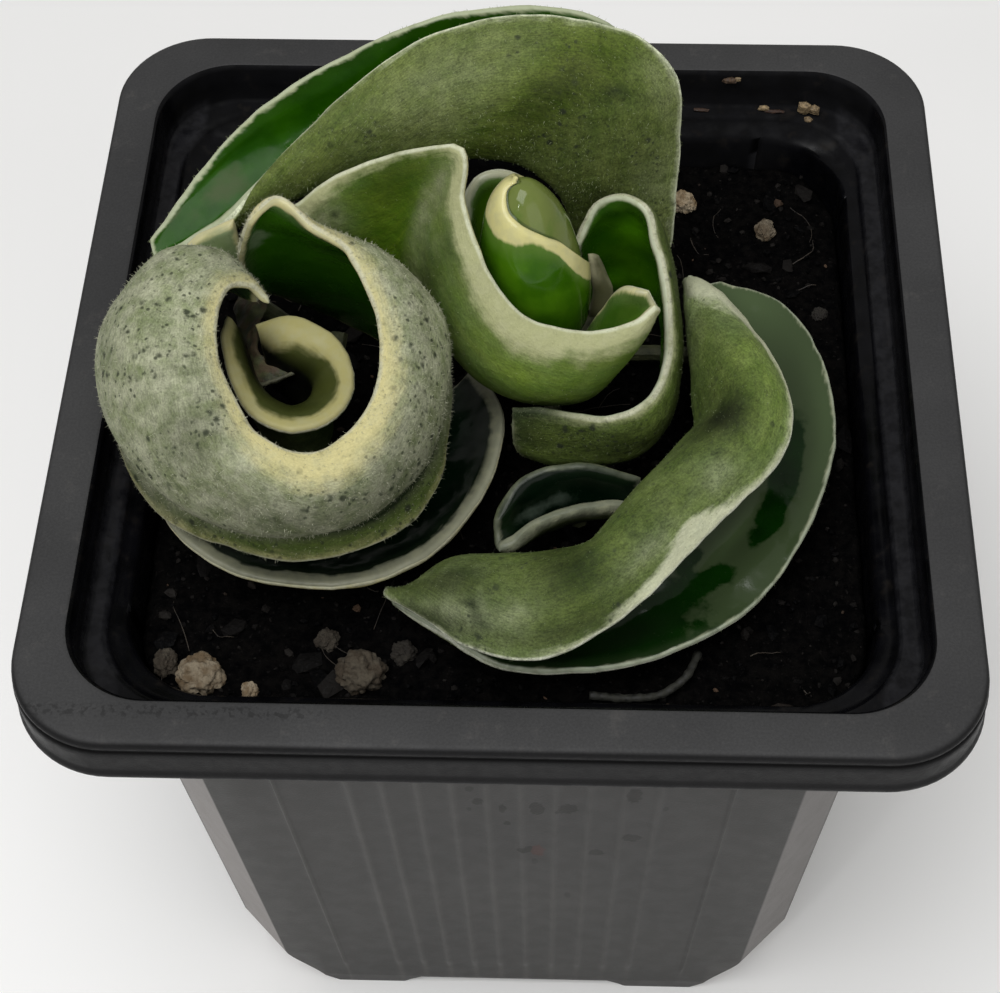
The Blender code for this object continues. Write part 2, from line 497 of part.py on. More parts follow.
SMALL_FOLD = [         # back margin, back half, fold, front margin
    [(-0.9, -19.2, 88.5), (-0.9, -20.1, 87.6), (-0.8, -21.1, 87.2), (-0.4, -22.2, 87.4)],
    [(0.7, -16.2, 89.6), (0.8, -18, 87.2), (1, -19.8, 86.2), (1, -21.6, 88)],
    [(3.7, -14.4, 90.4), (3.8, -15.8, 87.3), (4, -17.4, 85), (2.8, -19.6, 88.2)],
    [(7.4, -13.8, 90.3), (7.4, -14.5, 87.5), (7.2, -15.8, 84.7), (5.9, -18.1, 88.3)],
    [(10.8, -14, 89.6), (10.7, -14.7, 87.2), (10.3, -15.8, 85.3), (9.1, -17.3, 88.2)],
    [(13.2, -14.2, 88.6), (13.1, -14.9, 87.3), (12.7, -15.8, 86.4), (12.1, -16.8, 87.8)],
]

CREST = [              # upper margin, middle, lower margin
    [(-31.6, 3.2, 101.9), (-31.6, 3.1, 101.3), (-31.4, 3.1, 100.7)],
    [(-30.3, 3.8, 103), (-30, 3.1, 101), (-29.5, 2.9, 98.8)],
    [(-28.3, 4.1, 104), (-27.9, 3.2, 101), (-27.4, 3, 98)],
    [(-26.6, 4.5, 104.7), (-26.2, 3.7, 101.3), (-25.8, 3.6, 98)],
]


def blade(name, net, along, across, finish, parts):
    """Leaf with a thinner margin: a smooth sheet through the net, thickened both ways."""
    sheet = blade_grid(net, along, across)
    bm = bmesh.new()
    bmesh.ops.create_grid(bm, x_segments=along, y_segments=across, size=1.0)
    fullness = {}
    for vert in bm.verts:
        i = round((vert.co.x + 1) / 2 * along)
        j = round((vert.co.y + 1) / 2 * across)
        inset = min(1 - abs(2 * j / across - 1), 1 - abs(2 * i / along - 1))
        fullness[vert.index] = MARGIN + (1 - MARGIN) * min(1.0, inset / MARGIN_BAND)
        vert.co = sheet[i, j] * MM
    bmesh.ops.triangulate(bm, faces=bm.faces, quad_method="SHORT_EDGE")
    mesh = bpy.data.meshes.new(name)
    bm.to_mesh(mesh)
    bm.free()
    leaf = add_object(name, mesh, finish, parts)
    group = leaf.vertex_groups.new(name="fullness")
    for index, weight in fullness.items():
        group.add([index], weight, "REPLACE")
    solid = leaf.modifiers.new("thickness", "SOLIDIFY")
    solid.thickness = BLADE * MM
    solid.offset = 0.0
    solid.vertex_group = group.name
    solid.use_rim = True
    mesh.shade_smooth()
    return leaf


# Bud: a young leaf rolled up tight, and the leaf that backs it

BUD_FOOT = 94.6
BUD_TOP = 110.6
BUD_RADIUS = 4.6
BUD_WRAP = 0.7         # how far the outer turn stands proud
BUD_TIP = 0.5          # radius of its blunt tip
BUD_SIDES = 20
BUD_AXIS = (3.0, 2.0, 97.0)      # a point on the axis
BUD_LEAN = (-0.11, 0.14)         # how far the axis runs left and back for each mm up
BUD_BELLY = 0.36       # share of the height where the bud is widest
WRAP_ANGLES = [60, 85, 110, 198, 216, 234, 261, 300, 321, 333, 350, 380, 420]     # degrees
WRAP_HEIGHTS = [97, 106.5, 109.6, 110.1, 109.8, 109.3, 108.7, 107.4, 106.1, 104.6, 102.4, 99.5, 97]

BUD_COLLAR = [         # upper margin, middle, lower margin
    [(-4.3, 4.6, 104), (-4, 4.2, 101), (-2.7, 4, 97.3)],
    [(-4.2, 7, 105.4), (-3.8, 6.3, 102), (-1.9, 5.6, 97.2)],
    [(-3, 8.4, 106.9), (-2.9, 7.9, 103), (-0.6, 6.9, 97)],
    [(-1, 9.1, 107), (-1, 9, 103), (1, 7.7, 97)],
    [(1.3, 9.4, 105.5), (1.4, 9.3, 102), (2.6, 7.9, 97)],
    [(3.5, 9.4, 103), (3.6, 9, 100.5), (4.2, 7.7, 97)],
]

BUD_SCALE = [          # right margin, middle, left margin
    [(8.8, 6.8, 97.3), (8.2, 6.9, 97.4), (7.7, 7, 97.3)],
    [(9.6, 6.2, 95.6), (8.6, 6.1, 95.4), (7.9, 6.2, 95.3)],
    [(10.3, 5, 93.6), (9.2, 4.8, 93.4), (8.2, 5, 93.3)],
    [(9, 3.9, 91.2), (8.5, 3.8, 91.1), (7.9, 3.9, 91)],
]


def bud_point(angle, height, proud):
    """Point on the bud's skin, which is an egg on a leaning axis."""
    share = (height - BUD_FOOT) / (BUD_TOP - BUD_FOOT)
    away = (share - BUD_BELLY) / (1 - BUD_BELLY)
    girth = BUD_RADIUS * math.sqrt(max(0.0, 1 - 0.98 * away * away))
    radius = max(BUD_TIP, girth) + proud
    rise = height - BUD_AXIS[2]
    return Vector((BUD_AXIS[0] + BUD_LEAN[0] * rise + radius * math.cos(angle),
                   BUD_AXIS[1] + BUD_LEAN[1] * rise + radius * math.sin(angle), height))


def wrap_height(angle):
    """Height of the outer turn's margin at an angle round the bud."""
    degrees = math.degrees(angle)
    if degrees < WRAP_ANGLES[0]:
        degrees += 360
    return float(np.interp(degrees, WRAP_ANGLES, WRAP_HEIGHTS))


def bud_rings():
    angles = [2 * math.pi * i / BUD_SIDES for i in range(BUD_SIDES)]
    rings = []
    for share in (0.0, 0.06, 0.22, 0.45, 0.7, 0.92, 1.0):
        proud = BUD_WRAP * (1.0 if share < 1 else 0.6)
        rings.append([bud_point(a, BUD_FOOT + share * (wrap_height(a) - BUD_FOOT), proud)
                      for a in angles])
    for share in (0.0, 0.3, 0.6, 0.85, 1.0):
        rings.append([bud_point(a, wrap_height(a) + share * (BUD_TOP - wrap_height(a)), 0.0)
                      for a in angles])
    return rings


# Stems

RIGHT_VINE = [         # radius, then the route
    (STEM_RADIUS, [(4, 4.2, 71), (4, 4.2, 80), (3.9, 4.1, 88), (3.4, 3, 94)]),
    (PETIOLE_RADIUS, [(4, 3.8, 84.8), (3.7, 1.5, 86.2), (3.4, -1.2, 86.9)]),
    (PETIOLE_RADIUS, [(4, 4.3, 82.5), (5.3, 5.5, 85), (6.3, 6.3, 86.6)]),
    (PETIOLE_RADIUS, [(4, 4.6, 81), (7.5, 9.5, 81.4), (10.6, 13.4, 82.7)]),
    (PETIOLE_RADIUS, [(4, 4.4, 81), (12, 6.8, 81.2), (18.5, 6.2, 81.9), (23, 4.5, 83.6)]),
    (PETIOLE_RADIUS, [(4, 3.6, 81), (5, -6, 81.2), (7, -13, 82), (7.2, -15.6, 82.9)]),
]

LEFT_VINE = [
    (STEM_RADIUS, [(-20.6, -10.8, 71), (-20.8, -10.7, 85), (-21, -10.6, 89), (-21, -10.5, 92.5)]),
    (PETIOLE_RADIUS, [(-20.8, -11, 87), (-20.3, -12.6, 88.9), (-20, -13.4, 89.7)]),
    (PETIOLE_RADIUS, [(-20.6, -11.4, 81), (-19.2, -15.5, 82), (-18.6, -18.5, 82.5)]),
    (PETIOLE_RADIUS, [(-20.6, -10.4, 82), (-18.8, -4, 85.3), (-17.6, 2.8, 89.2)]),
    (PETIOLE_RADIUS, [(-18.6, -3, 85.8), (-21.5, 1.8, 89.5), (-26.8, 3, 95)]),
]

RUNNER = [(8.5, -34), (12.4, -34.1), (15.7, -33.3), (17.8, -31.6), (19, -29)]


def tube(name, route, radius, points):
    """Round stem along a smooth curve through the route's points."""
    route = np.array(route, float)
    line = through(chord_knots(route), route, np.linspace(0, 1, points))
    curve = bpy.data.curves.new(name, "CURVE")
    curve.dimensions = "3D"
    curve.bevel_depth = radius * MM
    curve.bevel_resolution = 2
    curve.use_fill_caps = True
    spline = curve.splines.new("POLY")
    spline.points.add(points - 1)
    for slot, place in zip(spline.points, line):
        slot.co = (*(place * MM), 1.0)
    shape = bpy.data.objects.new(name, curve)
    bpy.context.scene.collection.objects.link(shape)
    depsgraph = bpy.context.evaluated_depsgraph_get()
    mesh = bpy.data.meshes.new_from_object(shape.evaluated_get(depsgraph))
    bpy.data.objects.remove(shape, do_unlink=True)
    bm = bmesh.new()
    bm.from_mesh(mesh)
    bmesh.ops.remove_doubles(bm, verts=bm.verts, dist=0.00001)
    bm.to_mesh(mesh)
    bm.free()
    return bpy.data.objects.new(name, mesh)


def build_vine(name, branches, finish, parts, cutters):
    """Main stem with its petioles, joined in one solid."""
    radius, route = branches[0]
    trunk = tube(name, route, radius, 10)
    trunk.data.materials.clear()
    trunk.data.materials.append(finish)
    parts.objects.link(trunk)
    petioles = [tube("petiole", path, width, 8) for width, path in branches[1:]]
    combine(trunk, petioles, "UNION", cutters)
    trunk.data.shade_smooth()
    return trunk


LEAVES = {             # net, cells along, cells across, finish
    "left_curl_leaf": (LEFT_CURL, 30, 8, "leaf"),
    "saucer_leaf": (SAUCER, 16, 6, "leaf"),
    "inner_curl_leaf": (INNER_CURL, 18, 6, "young_leaf"),
    "top_fold_leaf": (TOP_FOLD, 24, 8, "leaf"),
    "cup_leaf": (CUP, 22, 8, "leaf"),
    "outer_cup_leaf": (OUTER_CUP, 22, 6, "leaf"),
    "side_fold_leaf": (SIDE_FOLD, 24, 9, "leaf"),
    "small_fold_leaf": (SMALL_FOLD, 10, 6, "leaf"),
    "crest_leaf": (CREST, 6, 4, "leaf"),
    "bud_collar_leaf": (BUD_COLLAR, 9, 4, "young_leaf"),
    "bud_scale": (BUD_SCALE, 6, 4, "dry_scale"),
}


def build_runner(finish, parts):
    """Thin dry stem that lies on the mix and follows its lumps."""
    lift = CLEAR + RUNNER_RADIUS + 0.2
    route = [(x, y, soil_height(x, y) + lift) for x, y in RUNNER]
    runner = tube("runner", route, RUNNER_RADIUS, 12)
    runner.data.materials.clear()
    runner.data.materials.append(finish)
    parts.objects.link(runner)


def build():
    clear_scene()
    parts = new_collection("hindu_rope_plant")
    cutters = new_collection("cutters")
    finishes = {
        "leaf": material("leaf", (0.17, 0.27, 0.06), 0.4),
        "young_leaf": material("young_leaf", (0.32, 0.38, 0.12), 0.35),
        "dry_scale": material("dry_scale", (0.42, 0.36, 0.27), 0.9),
    }
    stem = material("stem", (0.2, 0.2, 0.11), 0.7)
    build_pot(parts, cutters)
    feet = [(*branches[0][1][0][:2], branches[0][0]) for branches in (LEFT_VINE, RIGHT_VINE)]
    build_soil(parts, cutters, feet)
    for name, (net, along, across, finish) in LEAVES.items():
        blade(name, net, along, across, finishes[finish], parts)
    add_object("bud", loft(bud_rings(), "bud"), finishes["young_leaf"], parts)
    build_vine("left_vine", LEFT_VINE, stem, parts, cutters)
    build_vine("right_vine", RIGHT_VINE, stem, parts, cutters)
    build_runner(stem, parts)


build()
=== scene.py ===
"""Looks of the hindu rope plant in its square nursery pot.

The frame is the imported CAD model.  Sizes and places here are in millimetres until a
mesh is made, and the nets and routes are the ones that the CAD model is made from.
"""
import math
import random

import bmesh
import bpy
import numpy as np
from mathutils import Matrix, Vector, noise


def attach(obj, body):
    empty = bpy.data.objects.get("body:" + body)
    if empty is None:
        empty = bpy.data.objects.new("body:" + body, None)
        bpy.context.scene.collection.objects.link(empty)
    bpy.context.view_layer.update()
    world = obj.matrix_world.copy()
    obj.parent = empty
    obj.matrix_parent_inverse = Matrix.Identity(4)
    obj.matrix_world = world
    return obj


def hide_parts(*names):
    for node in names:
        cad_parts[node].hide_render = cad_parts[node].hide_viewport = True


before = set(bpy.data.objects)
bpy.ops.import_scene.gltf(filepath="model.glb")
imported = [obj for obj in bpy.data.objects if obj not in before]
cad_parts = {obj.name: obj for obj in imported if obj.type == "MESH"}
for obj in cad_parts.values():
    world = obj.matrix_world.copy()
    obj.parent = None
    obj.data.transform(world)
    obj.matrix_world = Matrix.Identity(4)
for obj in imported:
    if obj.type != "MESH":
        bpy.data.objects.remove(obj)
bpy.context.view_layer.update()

MM = 0.001
TINY = 1e-9            # least length that a vector is divided by

# Pot
POT_HEIGHT = 90.0
RIM_HALF = 45.0
WALL_TOP_HALF = 37.2
WALL_FOOT_HALF = 33.8
WALL = 1.1
FLOOR = 1.6
LIP_DEPTH = 6.0
RIM_WIDTH = 4.2
RIM_EDGE = 0.6
INNER_CORNER = 9.0
FLOOR_CORNER = 13.0
CORNER_LEG = 5.9
FOOT_LEG = 9.5
FACET_FOOT = 10.3
FOOT_RISE = 2.0
BASE_INSET = 2.8
RIB_COUNT = 10
RIB_PITCH = 3.65
RIB_TAPER = 0.88
RIB_PROUD = 0.3
RIB_FOOT = 8.0
RIB_LENGTH = 74.4
RIB_LEAST = 0.86
RIB_SOFT = 0.42        # half width of a rib's soft crest
CREASE_PLACE = 24.2
CREASE_SOFT = 0.2
CREASE_PROUD = 0.3
FEET_PLACE = 18.5
FOOT_LENGTH = 8.0
FOOT_ROOT = 12.5
POT_CORNER_POINTS = 17

# Potting mix
SOIL_TOP = 79.5
SOIL_ROUGH = 0.7
SOIL_SEED = 7
SOIL_CLEAR = 0.3
SOIL_RINGS = 84

# Leaves
BLADE = 1.5
MARGIN = 0.55
MARGIN_BAND = 0.22
LEAF_CELL = 0.6        # size of the mesh cells away from the margin
MARGIN_STEPS = (0.0, 0.06, 0.17, 0.36, 0.62, 1.0, 1.45)
MARGIN_FIT = 2.8       # rows shorter than this many times the last step get closer lines
RUFFLE_REACH = 3.0     # how far in from the side margins a leaf is ruffled
CALM_REACH = 1.2       # how far in from the margin its waves reach their full height
EDGE_ROUND = 0.42      # rounding of the margin


# Curves and surfaces through points

def smooth_read(knots, rows, places, own=()):
    """Smooth curve through rows at knots, read at places; own picks each place's own curve."""
    gaps = np.diff(knots)
    step = gaps.reshape((-1,) + (1,) * (rows.ndim - 1))
    slope = np.diff(rows, axis=0) / step
    lean = np.empty_like(rows)
    lean[0] = slope[0]
    lean[-1] = slope[-1]
    lean[1:-1] = (slope[:-1] * step[1:] + slope[1:] * step[:-1]) / (step[:-1] + step[1:])
    span = np.clip(np.searchsorted(knots, places, side="right") - 1, 0, len(knots) - 2)
    width = gaps[span][:, None]
    t = (places - knots[span])[:, None] / width
    here = (span, *own)
    after = (span + 1, *own)
    return (rows[here] * (2 * t**3 - 3 * t**2 + 1) + rows[after] * (3 * t**2 - 2 * t**3)
            + lean[here] * width * (t**3 - 2 * t**2 + t) + lean[after] * width * (t**3 - t**2))


def through(knots, rows, places):
    """Read a smooth curve that passes through rows at knots, at the given places."""
    rows = np.asarray(rows, float)
    flat = rows.reshape(len(knots), -1)
    read = smooth_read(np.asarray(knots, float), flat, np.asarray(places))
    return read.reshape((len(places),) + rows.shape[1:])


def chord_knots(net):
    """Knots from 0 to 1, spaced as the rows of a net are."""
    gaps = np.linalg.norm(np.diff(net, axis=0), axis=-1)
    if gaps.ndim > 1:
        gaps = gaps.mean(axis=1)
    knots = np.concatenate([[0.0], np.cumsum(gaps)])
    return knots / knots[-1]


def surface(net, u, v):
    """Points of the smooth surface through a net at any places u along and v across."""
    lengthwise = through(chord_knots(net), net, u.ravel())
    knots = chord_knots(net.transpose(1, 0, 2))
    own = (np.arange(u.size),)
    points = smooth_read(knots, lengthwise.transpose(1, 0, 2), v.ravel(), own)
    return points.reshape(u.shape + (3,))


def noise_at(points, scale, seed):
    """Smooth noise from -1 to 1 at each point."""
    shift = Vector((seed * 7.13, seed * 3.71, seed * 1.37))
    flat = np.asarray(points).reshape(-1, 3) * scale
    read = [noise.noise(Vector(p) + shift) for p in flat]
    return np.array(read).reshape(np.asarray(points).shape[:-1])


def unit(vectors):
    """Vectors brought to a length of 1."""
    return vectors / np.maximum(np.linalg.norm(vectors, axis=-1, keepdims=True), TINY)


def smooth_step(x):
    """Rise from 0 to 1 that is level at both ends."""
    x = np.clip(x, 0.0, 1.0)
    return x * x * (3 - 2 * x)


def running(points, axis):
    """Length run along an axis of a grid of points, from its first line."""
    gaps = np.linalg.norm(np.diff(points, axis=axis), axis=-1)
    total = np.cumsum(gaps, axis=axis)
    lead = np.zeros_like(np.take(total, [0], axis=axis))
    return np.concatenate([lead, total], axis=axis)


# Meshes

def object_from(name, points, faces, finishes, indices=None, smooth=True):
    """Object from points in millimetres, with one material index for each face."""
    mesh = bpy.data.meshes.new(name)
    mesh.from_pydata((np.asarray(points, float) * MM).tolist(), [], faces)
    if indices is not None:
        mesh.polygons.foreach_set("material_index", indices)
    if smooth:
        mesh.polygons.foreach_set("use_smooth", [True] * len(mesh.polygons))
    for finish in finishes:
        mesh.materials.append(finish)
    mesh.update()
    thing = bpy.data.objects.new(name, mesh)
    bpy.context.scene.collection.objects.link(thing)
    return thing


def store(thing, name, values):
    """Keep one number, or three, for each point of a mesh under a name."""
    values = np.asarray(values, float)
    kind = "FLOAT_VECTOR" if values.ndim == 2 else "FLOAT"
    field = "vector" if values.ndim == 2 else "value"
    layer = thing.data.attributes.new(name, kind, "POINT")
    layer.data.foreach_set(field, values.ravel())


def settle(piece, node=None):
    """Fix a piece to the one body, and hide the CAD node that it stands for."""
    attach(piece, "root")
    if node:
        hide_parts(node)


def grid_faces(rows, columns, start=0, flip=False, closed=False):
    """Quads of a grid of points that are numbered row by row."""
    faces = []
    wide = columns if closed else columns - 1
    for i in range(rows - 1):
        for j in range(wide):
            k = (j + 1) % columns
            a = start + i * columns + j
            b = start + i * columns + k
            c = a + columns
            d = b + columns
            faces.append((a, b, d, c) if flip else (a, c, d, b))
    return faces


def tube_faces(rows, columns, start=0):
    """Faces of closed outlines of points, joined up and capped at both ends."""
    faces = grid_faces(rows, columns, start=start, flip=True, closed=True)
    last = start + (rows - 1) * columns
    faces.append(tuple(start + k for k in range(columns))[::-1])
    faces.append(tuple(last + k for k in range(columns)))
    return faces


# Material graphs

class Graph:
    """Small helper for the nodes of one material; coordinates are in millimetres."""

    def __init__(self, name):
        self.material = bpy.data.materials.new(name)
        self.material.use_nodes = True
        self.tree = self.material.node_tree
        self.shader = self.tree.nodes["Principled BSDF"]
        self.mm = self.scaled(self.node("TexCoord", {}, "Object"), (1 / MM,) * 3)

    def put(self, socket, value):
        """Link or set one input."""
        if isinstance(value, bpy.types.NodeSocket):
            self.tree.links.new(value, socket)
        elif isinstance(value, tuple) and len(value) == 3 and socket.type == "RGBA":
            socket.default_value = (*value, 1.0)
        else:
            socket.default_value = value

    def node(self, kind, inputs, output=0, **settings):
        """One of the outputs of a new node."""
        node = self.tree.nodes.new("ShaderNode" + kind)
        for name, value in settings.items():
            setattr(node, name, value)
        for name, value in inputs.items():
            self.put(node.inputs[name], value)
        return node.outputs[output]

    def scaled(self, vector, factors):
        return self.node("VectorMath", {0: vector, 1: factors}, operation="MULTIPLY")

    def sum(self, operation, a, b=0.0):
        return self.node("Math", {0: a, 1: b}, operation=operation)

    def plus(self, a, b):
        return self.sum("ADD", a, b)

    def minus(self, a, b):
        return self.sum("SUBTRACT", a, b)

    def times(self, value, *factors):
        for factor in factors:
            value = self.sum("MULTIPLY", value, factor)
        return value

    def noise(self, scale, detail=2.0, vector=None, rough=0.5):
        vector = self.mm if vector is None else vector
        return self.node("TexNoise", {"Vector": vector, "Scale": scale, "Detail": detail,
                                      "Roughness": rough}, "Fac")

    def cells(self, scale):
        return self.node("TexVoronoi", {"Vector": self.mm, "Scale": scale}, "Distance")

    def value(self, name, output="Fac"):
        """What the mesh stores under a name."""
        return self.node("Attribute", {}, output, attribute_name=name)

    def flow(self, *factors):
        """Place along and across a leaf, stretched."""
        return self.scaled(self.value("flow", "Vector"), factors)

    def part(self, axis):
        return self.node("SeparateXYZ", {0: self.mm}, axis)

    def span(self, value, low, high, to_low=0.0, to_high=1.0):
        """Smooth step of a value between two limits."""
        return self.node("MapRange", {"Value": value, "From Min": low, "From Max": high,
                                      "To Min": to_low, "To Max": to_high}, "Result",
                         interpolation_type="SMOOTHSTEP")

    def middle(self, value, to_low=0.0, to_high=1.0):
        """Smooth step over the middle of a noise, where most of its values lie."""
        return self.span(value, 0.3, 0.7, to_low, to_high)

    def mix(self, share, a, b):
        return self.node("Mix", {0: share, 6: a, 7: b}, 2, data_type="RGBA")

    def tinted(self, colour, tint, *shares):
        """Colour with a tint laid over it by the product of shares."""
        return self.mix(self.times(*shares), colour, tint)

    def lit(self, colour, factor):
        """Colour times a brightness."""
        return self.node("VectorMath", {0: colour, "Scale": factor}, operation="SCALE")

    def bump(self, height, distance, **normal):
        return self.node("Bump", {"Height": height, "Distance": distance * MM, "Strength": 1.0,
                                  **normal}, "Normal")

    def finish(self, colour, roughness, normal=None, **constants):
        """Material with its inputs set; names in constants have _ for a space."""
        inputs = {"Base_Color": colour, "Roughness": roughness, **constants}
        if normal is not None:
            inputs["Normal"] = normal
        for name, value in inputs.items():
            self.put(self.shader.inputs[name.replace("_", " ")], value)
        return self.material


# Leaf nets
# One row for each station along the leaf, with the points across it from margin to margin.

LEFT_CURL = [          # mouth margin, shoulder, belly, crease, lower margin
    [(-23.9, -1, 110.5), (-24.8, -0.6, 107.5), (-25.6, -0.1, 104.5), (-26, 0.8, 101), (-25.7, 1.3, 98)],
    [(-21.5, -0.5, 113), (-23.2, 0.4, 110), (-24, 1.4, 106), (-24.1, 2.2, 100), (-23.4, 3, 95)],
    [(-18, -2.5, 112), (-17.3, -0.8, 108.5), (-17, 1.8, 103.5), (-17.4, 2.6, 97), (-17.5, 3.2, 91)],
    [(-14.5, -5, 111), (-12.2, -4, 109.3), (-10.3, -2, 104), (-10.4, -1.2, 97), (-10.8, -1, 91)],
    [(-12.3, -8.7, 109.5), (-10, -7, 109), (-6.9, -5.3, 103), (-6.8, -4.9, 96), (-6.6, -4.3, 91)],
    [(-11, -14, 108), (-8.7, -13.5, 107.3), (-5.9, -12, 101.3), (-7, -11.2, 94.8), (-6.1, -11, 90.3)],
    [(-11.6, -18.7, 107), (-9.7, -19.5, 106), (-7.4, -19.2, 99.4), (-9, -16.5, 93.8), (-6.8, -17, 90)],
    [(-13.7, -21.8, 106), (-12.6, -23.6, 105), (-11.6, -24.3, 98.6),
     (-13, -21, 93), (-10.3, -21.8, 89.8)],
    [(-17, -23, 105), (-17.5, -25.3, 103.7), (-18, -26.7, 98.2),
     (-18.4, -22.7, 92.8), (-18.6, -24.8, 89.3)],
    [(-20.8, -21.7, 105), (-22.5, -24, 104.3), (-24, -26, 97.9),
     (-24.4, -22.3, 92.6), (-25, -23.7, 89.4)],
    [(-24, -17.6, 105.8), (-28, -19.5, 106), (-32, -21.3, 98.8), (-32, -18.5, 93), (-33.2, -20, 90)],
    [(-26, -12.8, 106.4), (-31.8, -13.5, 107.4), (-37, -13.5, 101),
     (-37, -12.6, 95), (-37.6, -12.3, 91.8)],
    [(-26.2, -8.5, 107), (-32, -7, 107.7), (-37.3, -5.5, 101.8), (-38, -4.5, 97), (-37.6, -4, 93.5)],
    [(-25.3, -5.9, 107), (-29.5, -3, 107.6), (-33.6, 0.2, 102.5), (-34, 1.5, 98), (-33.3, 2, 94.5)],
    [(-23.8, -5.2, 106), (-25.8, -2.9, 106.5), (-28.2, 0.2, 104), (-28.5, 1, 100.5), (-28, 1, 98)],
    [(-22.3, -5.6, 104.3), (-22.9, -4.9, 104.4), (-23.7, -4, 103.8),
     (-23.9, -3.7, 102.8), (-23.9, -3.7, 102)],
]

SAUCER = [             # outer margin, inner edge of the pale band, middle, inner margin
    [(-34.5, -16.3, 88), (-33.3, -16, 87.2), (-31.8, -15.5, 86.7), (-30.8, -15, 86.7)],
    [(-31.7, -21, 87.8), (-29.5, -19.5, 86.5), (-26.7, -17.5, 85.6), (-24, -15.5, 85.6)],
    [(-26.3, -24.9, 87.5), (-25, -22.6, 85.9), (-23.2, -19.3, 84.9), (-21.5, -16.5, 84.9)],
    [(-19.1, -26.3, 87.3), (-18.9, -23.8, 85.6), (-18.5, -20.5, 84.5), (-18, -17, 84.5)],
    [(-12.5, -25.6, 87.3), (-13, -23.2, 85.6), (-13.8, -20, 84.4), (-14.5, -16.8, 84.4)],
    [(-7, -22.4, 87.3), (-8.3, -20.5, 85.6), (-10.3, -18.2, 84.4), (-12, -15.5, 84.4)],
    [(-2.6, -16.3, 87.3), (-4.8, -15.4, 85.6), (-8, -14.3, 84.4), (-10.8, -13.3, 84.4)],
    [(-0.6, -9.3, 87.3), (-3.3, -9.3, 85.5), (-7, -9.8, 84.2), (-10.3, -10.3, 84.2)],
    [(-1, -3.5, 86.3), (-3.6, -4.3, 84.9), (-7, -5.5, 83.9), (-10.3, -7, 84)],
    [(-4, 1.3, 85.5), (-5.3, 0.1, 84.5), (-7.3, -1.6, 84), (-9.5, -3.5, 84)],
]

INNER_CURL = [         # outer margin, inner edge of the pale band, lip, wall, foot
    [(-26.7, -4.6, 101), (-26.3, -4.9, 100), (-25.9, -5, 98), (-25.6, -5.2, 95.5), (-25.4, -5.4, 93)],
    [(-26.7, -8.6, 102), (-25.4, -9.4, 101), (-24.9, -9.4, 99.3),
     (-24.5, -9.5, 95.5), (-24.3, -9.6, 91)],
    [(-25.1, -13.5, 102), (-24.1, -12.9, 101), (-23.5, -12.2, 99.3),
     (-23.2, -12, 95.5), (-23, -11.9, 91)],
    [(-22.7, -17.3, 102), (-22.2, -15.4, 101), (-21.9, -13.8, 99.3),
     (-21.6, -13.4, 95.5), (-21.5, -13.2, 91)],
    [(-18.8, -18.8, 102), (-19.3, -16.6, 101), (-19.7, -14.7, 99.3),
     (-19.7, -14, 95.5), (-19.7, -13.8, 91)],
    [(-15.9, -17.6, 102), (-16.9, -15.8, 101), (-18, -13.9, 99.3),
     (-18.2, -13.3, 95.5), (-18.2, -13.1, 91)],
    [(-13.8, -13.3, 102), (-15.3, -12.4, 101), (-17.2, -11.3, 99.3),
     (-17.5, -11.2, 95.5), (-17.5, -11.2, 91)],
    [(-14.9, -9.2, 102), (-16.2, -9.7, 101), (-17.7, -9.9, 99.3), (-18, -10, 95.5), (-18, -10.1, 91)],
    [(-17.8, -6.3, 102), (-18.8, -8.2, 101), (-19.2, -8.6, 99.2),
     (-19.3, -8.7, 96), (-19.3, -8.7, 91.5)],
    [(-21.1, -5.1, 101.8), (-21.4, -7.1, 101), (-21.5, -7.6, 99.2),
     (-21.5, -7.8, 96), (-21.4, -7.9, 92.5)],
    [(-23.9, -5.9, 101.3), (-23.5, -6.7, 100.6), (-23.3, -7.2, 99),
     (-23.2, -7.4, 96.5), (-23.1, -7.6, 94)],
]

